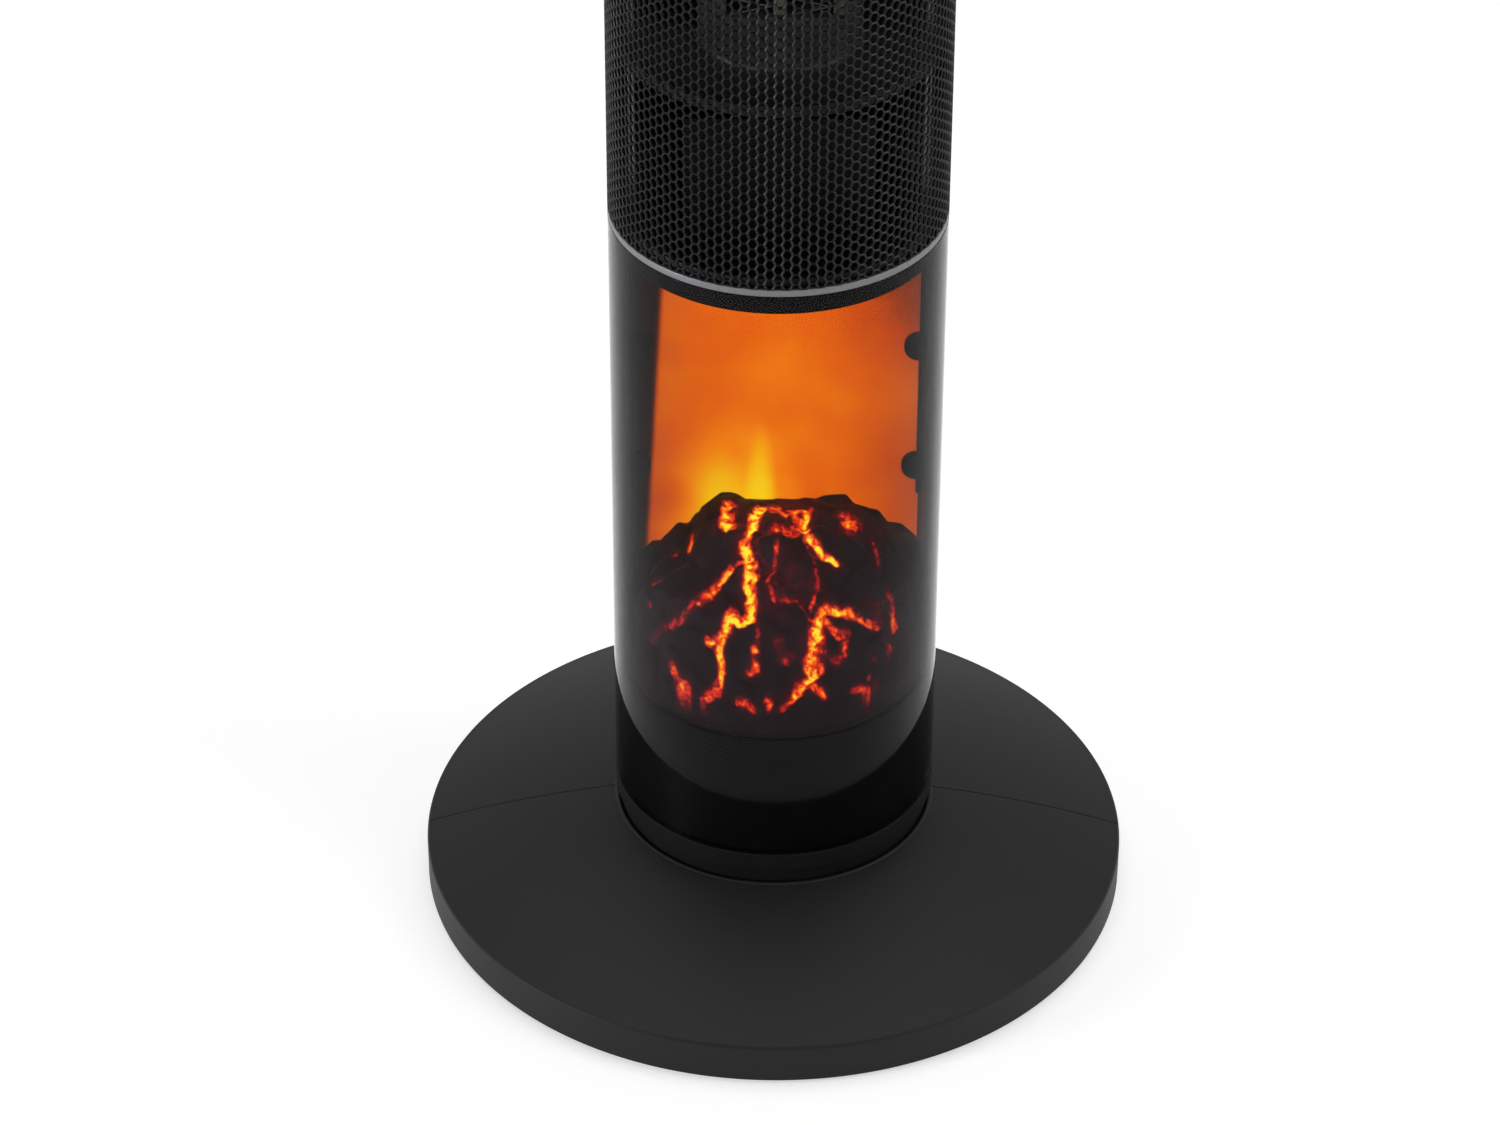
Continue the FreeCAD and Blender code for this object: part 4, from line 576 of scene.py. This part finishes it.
def rear_liner():
    """The black half shell behind the scene."""
    foot, top = foot_of("rear_liner"), top_of("rear_liner")
    outline = [(INNER_R - LINER_WALL, foot), (INNER_R, foot), (INNER_R, top), (INNER_R - LINER_WALL, top)]
    piece = turn_ring("rear_liner", outline)
    cut_away((0, LINER_FRONT, 0), (0, -1, 0))
    return finish_piece(piece, "tower", ["rear_liner"], FINE_EDGE)


def middle_deck():
    """The deck over the tube, with its bezel below and its collar above."""
    foot = foot_of("middle_deck")
    deck_foot = TUBE_TOP - MIDDLE_DECK
    inner = INNER_R - BEZEL_WALL
    outline = [
        (WIRE_HOLE, deck_foot), (inner, deck_foot), (inner, foot), (INNER_R, foot), (INNER_R, COLLAR_TOP),
        (inner, COLLAR_TOP), (inner, TUBE_TOP), (WIRE_HOLE, TUBE_TOP),
    ]
    return finish_piece(turn_ring("middle_deck", outline), "tower", ["middle_deck"], FINE_EDGE)


def silver_ring():
    """The thin trim ring between tube and sleeve."""
    inner = TOWER_R - TUBE_WALL
    outline = [(inner, TUBE_TOP), (TOWER_R, TUBE_TOP), (TOWER_R, SLEEVE_FOOT), (inner, SLEEVE_FOOT)]
    piece = turn_ring("silver_ring", outline, steps=2 * ROUND_STEPS)
    return finish_piece(piece, "tower", ["silver_ring"], TRIM_EDGE)


foot_ring()
flame_tube()
plinth_drum()
rear_liner()
middle_deck()
silver_ring()

# Ember bed: a mound of cooled lava with hot streams between its rocks
MOUND_Y = 12 * MM
CRATER_R = 28 * MM
CRATER_RISE = 66 * MM
CRATER_DIP = 1.5 * MM
SHOULDER_R = 58 * MM
SHOULDER_RISE = 46 * MM
TOE_R = 75 * MM
TOE_RISE = 6 * MM
# The rear left shoulder has slumped: how far down, and over which places across and back
SLUMP = 9 * MM
SLUMP_START = 22 * MM
SLUMP_RUN = 14 * MM
SLUMP_FRONT = -25 * MM
SLUMP_DEEP = 30 * MM
# Rocks: their size, how steeply they rise from the cracks, how high, and what part of that is sunk
ROCK_SIZE = 15 * MM
ROCK_STEEP = 2.2
ROCK_RISE = 3.2 * MM
ROCK_SUNK = 0.6
ROCK_SHARP = math.radians(100)
ROUGH_SIZE = 9 * MM
ROUGH_RISE = 0.9 * MM
STREAM_DEPTH = 2.0 * MM
BED_EDGE = 2 * MM
# Faint glow in the cracks between rocks: how narrow, how hot, and over which places
CRACK_NARROW = 3
CRACK_HEAT = 0.3
CRACK_PLACES = 20 * MM
CRACK_SHARE = 0.2
# Crusts that break up the streams' glow
CRUST_SIZE = 2.2 * MM
CRUST_LEVEL = 0.8
CRUST_SWAY = 0.6
# Streams wander by three noises, one along each axis, taken far apart
BEND = 1.8 * MM
BEND_SIZE = 9 * MM
BEND_SHIFTS = (Vector((0, 0, 0)), Vector((31, 7, 13)), Vector((5, 43, 17)))
BED_RINGS = 90
BED_STEPS = 360

# Streams as plan points in millimetres, half width and how hot they are at both ends
STREAMS = (
    (((-6, 8), (-9, -5), (-13, -15), (-11, -21), (-10, -28), (-11, -36), (-10, -42), (-14, -44)),
     2.3, 1.35, 1.3),
    (((-14, -44), (-17, -41), (-20, -45), (-26, -44)), 2.4, 1.25, 0.9),
    (((-20, -45), (-22, -47), (-21, -50), (-21, -53), (-28, -53)), 1.8, 1.1, 0.75),
    (((-12, -22), (-17, -23), (-22, -27), (-26, -32), (-30, -36)), 2.0, 1.05, 0.7),
    (((-30, -36), (-38, -35), (-44, -33), (-49, -32)), 2.4, 0.55, 0.36),
    (((13, 6), (11, -9), (15, -15), (18, -19), (24, -22)), 1.9, 0.95, 1.25),
    (((40, -34), (34, -37), (28, -38), (23, -37), (17, -43)), 2.3, 0.7, 1.1),
    (((17, -43), (14, -47), (13, -50), (15, -53), (10, -55), (8, -57)), 2.7, 1.2, 0.95),
    (((19, -43), (25, -43), (28, -42), (27, -46), (24, -48)), 2.2, 0.7, 0.55),
    (((17, -45), (18, -49), (16, -52)), 2.8, 0.7, 0.6),
    (((12, -15), (15, -22), (16, -30), (15, -36), (13, -42)), 1.4, 0.5, 0.45),
    (((2, -8), (0, -19), (-3, -28), (-3, -33), (-1, -38), (6, -36), (13, -41)), 1.6, 0.46, 0.4),
    (((0, 5), (7, 5), (11, 0), (8, -10), (1, -10)), 5.0, 0.6, 0.5),
    (((-18, 6), (-20, -6)), 3.0, 1.05, 1.3),
    (((-33, 4), (-34, -5)), 2.4, 0.6, 1.0),
    (((38, -3), (40, -10), (41, -16)), 1.5, 0.42, 0.45),
    (((45, -24), (46, -28), (47, -31)), 1.7, 0.5, 0.95),
    (((45, -36), (45, -39)), 1.6, 0.65, 0.6),
    (((30, -51), (34, -49), (38, -48), (41, -45)), 1.7, 0.55, 0.8),
    (((15, -55), (20, -55)), 1.3, 0.75, 0.6),
    (((3, -59), (8, -58)), 2.0, 0.55, 0.6),
    (((-2, -58), (-2, -59)), 2.2, 0.85, 0.8),
    (((-15, -57), (-12, -58), (-9, -59)), 1.8, 0.8, 0.7),
    (((-26, -54), (-22, -54.5)), 2.0, 0.75, 0.7),
    (((-41, -42), (-38, -46), (-34, -50)), 1.8, 0.6, 0.8),
    (((-8, -49), (-8, -51), (-7, -53), (-10, -53)), 1.7, 0.8, 0.9),
    (((-7, -45), (-7, -48)), 1.2, 0.45, 0.5),
)
# Dull glow beside a stream: its share of the stream's heat, and how many half widths it reaches
HALO = 0.24
HALO_SPREAD = 2.4
# Lit patches: plan place, radius in millimetres and heat
PATCHES = (
    (29, 0, 6, 0.72), (29, 1, 2.5, 1.0), (-47, -16, 2.2, 0.7), (-41, -6, 1.8, 0.45), (-50, -24, 1.6, 0.45),
    (43, -36, 2, 0.4), (37, -46, 1.5, 0.75), (39, -42, 2, 0.5), (53, -28, 3, 0.32), (1, -49, 3, 0.42),
    (4, -51, 3.5, 0.45), (-43, -38, 1.5, 0.55), (2, -32, 24, 0.19), (0, 10, 26, 0.2),
)


def mound_height(x, y):
    """Height of the smooth mound at a plan place."""
    reach = math.hypot(x, y - MOUND_Y)
    if reach < CRATER_R:
        rise = CRATER_RISE - CRATER_DIP * (1 - reach / CRATER_R)
    elif reach < SHOULDER_R:
        rise = CRATER_RISE + (SHOULDER_RISE - CRATER_RISE) * (reach - CRATER_R) / (SHOULDER_R - CRATER_R)
    else:
        rise = SHOULDER_RISE + (TOE_RISE - SHOULDER_RISE) * (reach - SHOULDER_R) / (TOE_R - SHOULDER_R)
    leftward = max(0.0, min(1.0, (-x - SLUMP_START) / SLUMP_RUN))
    backward = max(0.0, min(1.0, (y - SLUMP_FRONT) / SLUMP_DEEP))
    return BED_FOOT + rise - SLUMP * leftward * backward


def on_mound(x, y):
    """The point of the smooth mound over a plan place in millimetres."""
    return Vector((x * MM, y * MM, mound_height(x * MM, y * MM)))


stream_lines = [([on_mound(*place) for place in places], half_width * MM, first, last)
                for places, half_width, first, last in STREAMS]
patch_places = [(on_mound(x, y), radius * MM, heat) for x, y, radius, heat in PATCHES]


def stream_heat(point):
    """How hot the streams and patches make the mound at a point."""
    heat = 0.0
    for places, half_width, first_heat, last_heat in stream_lines:
        runs = len(places) - 1
        for number in range(runs):
            start, end = places[number], places[number + 1]
            run = end - start
            share = max(0.0, min(1.0, (point - start).dot(run) / run.length_squared))
            gap = (point - start - run * share).length / half_width
            along = (number + share) / runs
            core = first_heat + (last_heat - first_heat) * along
            halo = HALO * core * math.exp(-((gap / HALO_SPREAD) ** 2))
            heat = max(heat, core * math.exp(-gap * gap), halo)
    for centre, radius, patch_heat in patch_places:
        gap = (point - centre).length / radius
        heat = max(heat, patch_heat * math.exp(-gap * gap))
    return heat


def ember_bed():
    """The mound: a round cake of many rings, whose top is raised to rocks and streams."""
    outline = [(BED_R * ring / BED_RINGS, BED_FOOT + CRATER_RISE) for ring in range(1, BED_RINGS + 1)]
    outline = [(BED_R / BED_RINGS, BED_FOOT)] + [(BED_R, BED_FOOT)] + outline[::-1]
    piece = turn_ring("ember_bed", outline, capped=True, steps=BED_STEPS)
    cut_away((0, BED_BACK, 0), (0, 1, 0))
    mesh = piece.data
    top = BED_FOOT + CRATER_RISE / 2
    heats = []
    for vertex in mesh.vertices:
        spot = vertex.co.copy()
        if spot.z < top:
            heats.append(0.0)
            continue
        smooth = Vector((spot.x, spot.y, mound_height(spot.x, spot.y)))
        bend = Vector([noise.noise(smooth / BEND_SIZE + shift) for shift in BEND_SHIFTS]) * BEND
        heat = stream_heat(smooth + bend)
        near = noise.voronoi(smooth / ROCK_SIZE)[0]
        rock = min(1.0, (near[1] - near[0]) * ROCK_STEEP)
        rough = noise.fractal(smooth / ROUGH_SIZE, 1.0, 2.0, 2)
        rise = ROCK_RISE * (rock - ROCK_SUNK) + ROUGH_RISE * rough - STREAM_DEPTH * min(1.0, heat)
        vertex.co.z = max(BED_FOOT + BED_EDGE, smooth.z + rise)
        crack = max(0.0, 1 - rock * CRACK_NARROW) * CRACK_HEAT
        crack *= max(0.0, noise.noise(smooth / CRACK_PLACES) + CRACK_SHARE)
        crust = CRUST_LEVEL + CRUST_SWAY * noise.noise(smooth / CRUST_SIZE)
        heats.append(max(heat * crust, crack))
    layer = mesh.attributes.new("lava_heat", "FLOAT", "POINT")
    layer.data.foreach_set("value", heats)
    return finish_piece(piece, "tower", ["ember_bed"], sharp=ROCK_SHARP)


ember_bed()

# Film
FILM_CORNER = 3 * MM
FILM_CORNER_STEPS = 6


def flame_screen():
    """The frosted film, cut with rounded corners, standing behind the mound."""
    low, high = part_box("flame_screen")
    bpy.ops.object.select_all(action="DESELECT")
    middle = [(a + b) / 2 for a, b in zip(low, high)]
    bpy.ops.mesh.primitive_cube_add(size=1, location=middle, scale=[b - a for a, b in zip(low, high)])
    piece = active_mesh("flame_screen")
    bpy.ops.object.mode_set(mode="EDIT")
    bpy.ops.mesh.select_mode(type="EDGE")
    bpy.ops.mesh.select_all(action="DESELECT")
    bpy.ops.object.mode_set(mode="OBJECT")
    for edge in piece.data.edges:
        first, last = (piece.data.vertices[number].co for number in edge.vertices)
        edge.select = abs(last.y - first.y) > (high[1] - low[1]) / 2
    bpy.ops.object.mode_set(mode="EDIT")
    bpy.ops.mesh.bevel(offset=FILM_CORNER, segments=FILM_CORNER_STEPS)
    bpy.ops.mesh.select_mode(type="VERT")
    bpy.ops.object.mode_set(mode="OBJECT")
    return finish_piece(piece, "tower", ["flame_screen"], FINE_EDGE)


flame_screen()

# Perforated sleeve: six-sided holes in staggered columns, each cell a funnel so that the webs are ridges
COLUMN_STEP = 3.23 * MM
HOLE_STEP = 4.25 * MM
WEB = 0.9 * MM
SHEET = 1.2 * MM
RIDGE = 0.35 * MM
SLEEVE_SEAM = 0.4 * MM
SLEEVE_SPLIT = (SLEEVE_FOOT + SLEEVE_TOP) / 2
PLAIN_ABOVE_SHIELD = 9 * MM
PLAIN_TOP = top_of("heat_shield") + PLAIN_ABOVE_SHIELD
SHEET_WELD = 10 * WELD


def perforated_sheet(name, length, width):
    """A flat sheet in plan, with its length along X, its width along Y and its face up."""
    bpy.ops.object.select_all(action="DESELECT")
    bpy.ops.mesh.primitive_circle_add(vertices=6, radius=1, fill_type="NGON")
    piece = active_mesh(name)
    cell = (HOLE_STEP / math.sqrt(3), COLUMN_STEP / 1.5)
    for vertex in piece.data.vertices:
        vertex.co.x *= cell[0]
        vertex.co.y *= cell[1]
    bpy.ops.object.mode_set(mode="EDIT")
    bpy.ops.mesh.select_all(action="SELECT")
    bpy.ops.mesh.inset(thickness=WEB / 2, depth=-RIDGE)
    bpy.ops.mesh.extrude_region_move(TRANSFORM_OT_translate={"value": (0, 0, RIDGE - SHEET)})
    bpy.ops.mesh.extrude_region_move(TRANSFORM_OT_translate={"value": (0, 0, 0)})
    apothem = HOLE_STEP / 2
    spread = apothem / (apothem - WEB / 2)
    bpy.ops.transform.resize(value=(spread, spread, 1), center_override=(0, 0, -SHEET))
    bpy.ops.mesh.delete(type="ONLY_FACE")
    bpy.ops.object.mode_set(mode="OBJECT")
    columns = 2 * math.ceil(width / COLUMN_STEP / 2) + 2
    rows = math.ceil(length / HOLE_STEP) + 2
    for count, offset in ((rows, (HOLE_STEP, 0, 0)), (2, (HOLE_STEP / 2, COLUMN_STEP, 0)),
                          (columns // 2, (0, 2 * COLUMN_STEP, 0))):
        copies = piece.modifiers.new("copies", "ARRAY")
        copies.count = count
        copies.use_relative_offset = False
        copies.use_constant_offset = True
        copies.constant_offset_displace = offset
        copies.use_merge_vertices = True
        copies.merge_threshold = SHEET_WELD
        bpy.ops.object.modifier_apply(modifier=copies.name)
    bpy.ops.object.mode_set(mode="EDIT")
    bpy.ops.mesh.select_all(action="SELECT")
    bpy.ops.mesh.remove_doubles(threshold=SHEET_WELD)
    bpy.ops.object.mode_set(mode="OBJECT")
    start = (HOLE_STEP, COLUMN_STEP / 2)
    cut_away((start[0], 0, 0), (-1, 0, 0))
    cut_away((start[0] + length, 0, 0), (1, 0, 0))
    cut_away((0, start[1], 0), (0, -1, 0))
    cut_away((0, start[1] + width, 0), (0, 1, 0))
    return piece, start


def sleeve_quarter(name, node, side, foot, top):
    """Rolls a flat sheet into the front or rear half of the sleeve, between two heights."""
    width = math.pi * TOWER_R - SLEEVE_SEAM
    piece, start = perforated_sheet(name, top - foot, width)
    mesh = piece.data
    flat = np.empty(3 * len(mesh.vertices))
    mesh.vertices.foreach_get("co", flat)
    flat = flat.reshape(-1, 3)
    angle = (flat[:, 1] - start[1] - width / 2) / TOWER_R
    radius = TOWER_R + flat[:, 2]
    rolled = np.column_stack((-side * radius * np.sin(angle), side * radius * np.cos(angle),
                              foot + flat[:, 0] - start[0]))
    mesh.vertices.foreach_set("co", rolled.ravel())
    mesh.update()
    bpy.ops.object.mode_set(mode="EDIT")
    bpy.ops.mesh.select_all(action="SELECT")
    bpy.ops.mesh.normals_make_consistent(inside=False)
    bpy.ops.object.mode_set(mode="OBJECT")
    return finish_piece(piece, "tower", [node])


def plain_rear():
    """The foot of the sleeve's rear half, which has no holes below the blower."""
    inner = TOWER_R - SHEET
    outline = [(inner, SLEEVE_FOOT), (TOWER_R, SLEEVE_FOOT), (TOWER_R, PLAIN_TOP), (inner, PLAIN_TOP)]
    piece = turn_ring("rear_grille_foot", outline)
    cut_away((0, SLEEVE_SEAM / 2, 0), (0, -1, 0))
    return finish_piece(piece, "tower", ["rear_grille"])


sleeve_quarter("front_grille_lower", "front_grille", -1, SLEEVE_FOOT, SLEEVE_SPLIT)
sleeve_quarter("front_grille_upper", "front_grille", -1, SLEEVE_SPLIT, SLEEVE_TOP)
plain_rear()
sleeve_quarter("rear_grille_lower", "rear_grille", 1, PLAIN_TOP, SLEEVE_SPLIT)
sleeve_quarter("rear_grille_upper", "rear_grille", 1, SLEEVE_SPLIT, SLEEVE_TOP)

# Cap and keys
CAP_WALL = 2.5 * MM
CAP_ROUND = 6 * MM
CAP_STEPS = 10
CAP_EDGE = 0.4 * MM
RECESS_R = 50.4 * MM
LEDGE_R = 46 * MM
PANEL_DEPTH = 2.5 * MM
LEDGE = 2 * MM


def top_cap():
    """The round-shouldered cap, recessed for the inlay."""
    inner = TOWER_R - CAP_WALL
    ledge_top = CAP_TOP - PANEL_DEPTH
    outline = [(inner, SLEEVE_TOP), (TOWER_R, SLEEVE_TOP)]
    outline += arc((TOWER_R - CAP_ROUND, CAP_TOP - CAP_ROUND), CAP_ROUND, 0, 90, CAP_STEPS)
    outline += [(RECESS_R, CAP_TOP), (RECESS_R, ledge_top), (LEDGE_R, ledge_top),
                (LEDGE_R, ledge_top - LEDGE), (inner, ledge_top - LEDGE)]
    piece = turn_ring("top_cap", outline, steps=2 * ROUND_STEPS)
    return finish_piece(piece, "tower", ["top_cap"], CAP_EDGE)


top_cap()

KEY_R = 6.2 * MM
KEY_STEM_R = 2 * MM
KEY_FLANGE_R = 7.8 * MM
KEY_GAP = 0.3 * MM
KEY_FLANGE_TOP = CAP_TOP - PANEL_DEPTH - KEY_GAP
KEY_FLANGE = 1.5 * MM
KEY_DISH_R = 4.6 * MM
KEY_DISH = 0.5 * MM
# The dish's outline, as shares of its radius and its depth
DISH_OUTLINE = ((1.0, 0.0), (0.5, 0.8), (0.125, 1.0))
KEY_STEPS = 64
KEY_EDGE = 0.35 * MM


def key(name):
    """A round key with a dished top, a flange under the inlay and a stem."""
    node = f"{name}_button"
    low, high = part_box(node)
    flange_foot = KEY_FLANGE_TOP - KEY_FLANGE
    outline = [
        (KEY_STEM_R, low[2]), (KEY_STEM_R, flange_foot), (KEY_FLANGE_R, flange_foot),
        (KEY_FLANGE_R, KEY_FLANGE_TOP), (KEY_R, KEY_FLANGE_TOP), (KEY_R, high[2]),
    ]
    outline += [(KEY_DISH_R * reach, high[2] - KEY_DISH * depth) for reach, depth in DISH_OUTLINE]
    piece = turn_ring(node, outline, capped=True, steps=KEY_STEPS)
    centre = ((low[0] + high[0]) / 2, (low[1] + high[1]) / 2, 0)
    bpy.ops.object.mode_set(mode="EDIT")
    bpy.ops.mesh.select_all(action="SELECT")
    bpy.ops.transform.translate(value=centre)
    bpy.ops.object.mode_set(mode="OBJECT")
    return finish_piece(piece, f"{name}_key", [node], KEY_EDGE)


for key_name in ("timer", "flame", "power", "heat", "swing"):
    key(key_name)

# Camera, at the photograph's viewing angle
CAMERA_PLACE = (-0.0102, -1.5595, 1.2382)
CAMERA_TILT = math.radians(55.08)
CAMERA_ROLL = math.radians(0.24)
LENS = 114.2
SENSOR = 36.0

camera_data = bpy.data.cameras.new("camera")
camera_data.lens = LENS
camera_data.sensor_width = SENSOR
camera_data.sensor_fit = "HORIZONTAL"
camera = bpy.data.objects.new("camera", camera_data)
camera.location = CAMERA_PLACE
camera_turn = Matrix.Rotation(CAMERA_TILT, 3, "X") @ Matrix.Rotation(CAMERA_ROLL, 3, "Z")
camera.rotation_euler = camera_turn.to_euler()
bpy.context.scene.collection.objects.link(camera)
bpy.context.scene.camera = camera


def seen_ray(tree):
    """A socket that is 1 for what the eye meets, straight, mirrored or through the tube, and 0 for light."""
    ray = add_node(tree, "ShaderNodeLightPath")
    seen = ray.outputs["Is Camera Ray"]
    for kind in ("Is Glossy Ray", "Is Transmission Ray"):
        seen = add_node(tree, "ShaderNodeMath", links={0: seen, 1: ray.outputs[kind]},
                        operation="MAXIMUM").outputs["Value"]
    return seen


# Floor, pale and a little bright to the eye, so that it is white and still takes the shadow
FLOOR_SIZE = 30.0
FLOOR_GLOW = 0.56

bpy.ops.object.select_all(action="DESELECT")
bpy.ops.mesh.primitive_plane_add(size=FLOOR_SIZE)
floor = active_mesh("floor")
floor_paper, floor_tree, floor_shader = new_material(
    "white_paper_floor", Base_Color=linear("#c8c8c8"), Roughness=0.9, Specular_IOR_Level=0.0,
    Emission_Color=linear("#ffffff"))
floor_glow = add_node(floor_tree, "ShaderNodeMath", {1: FLOOR_GLOW}, {0: seen_ray(floor_tree)},
                      operation="MULTIPLY")
floor_tree.links.new(floor_glow.outputs["Value"], floor_shader.inputs["Emission Strength"])
floor.data.materials.append(floor_paper)

# World: white round the horizon, dimmer overhead, and softer as a light than as a backdrop
WORLD_LIGHT = 0.35

world = bpy.data.worlds.new("studio")
bpy.context.scene.world = world
world.use_nodes = True
world_tree = world.node_tree
world_tree.nodes.clear()
direction = add_node(world_tree, "ShaderNodeTexCoord")
upward = add_node(world_tree, "ShaderNodeSeparateXYZ", links={"Vector": direction.outputs["Generated"]})
sky = add_node(world_tree, "ShaderNodeValToRGB", links={"Fac": upward.outputs["Z"]},
               stops=((0.25, "#ffffff"), (0.6, "#6e6e6e")))
world_strength = add_node(world_tree, "ShaderNodeMapRange", {"To Min": WORLD_LIGHT, "To Max": 1.0},
                          {"Value": seen_ray(world_tree)})
background = add_node(world_tree, "ShaderNodeBackground",
                      links={"Color": sky.outputs["Color"], "Strength": world_strength.outputs["Result"]})
add_node(world_tree, "ShaderNodeOutputWorld", links={"Surface": background.outputs["Background"]})

# Soft boxes, all aimed at one point: place, width, height and power
SOFT_BOXES = {
    "left_soft_box": ((-1.75, -0.74, 0.5), 0.35, 0.9, 16.0),
    "right_soft_box": ((1.7, -0.6, 1.5), 1.0, 1.2, 14.0),
    "top_soft_box": ((0.0, 0.4, 2.3), 2.0, 1.6, 36.0),
}
AIM = Vector((0, 0, 0.3))
for box_name, (box_place, box_width, box_height, box_power) in SOFT_BOXES.items():
    lamp = bpy.data.lights.new(box_name, "AREA")
    lamp.shape = "RECTANGLE"
    lamp.size = box_width
    lamp.size_y = box_height
    lamp.energy = box_power
    lamp_object = bpy.data.objects.new(box_name, lamp)
    lamp_object.location = box_place
    lamp_object.rotation_euler = (AIM - Vector(box_place)).to_track_quat("-Z", "Y").to_euler()
    bpy.context.scene.collection.objects.link(lamp_object)

bpy.context.scene.view_settings.view_transform = "Standard"
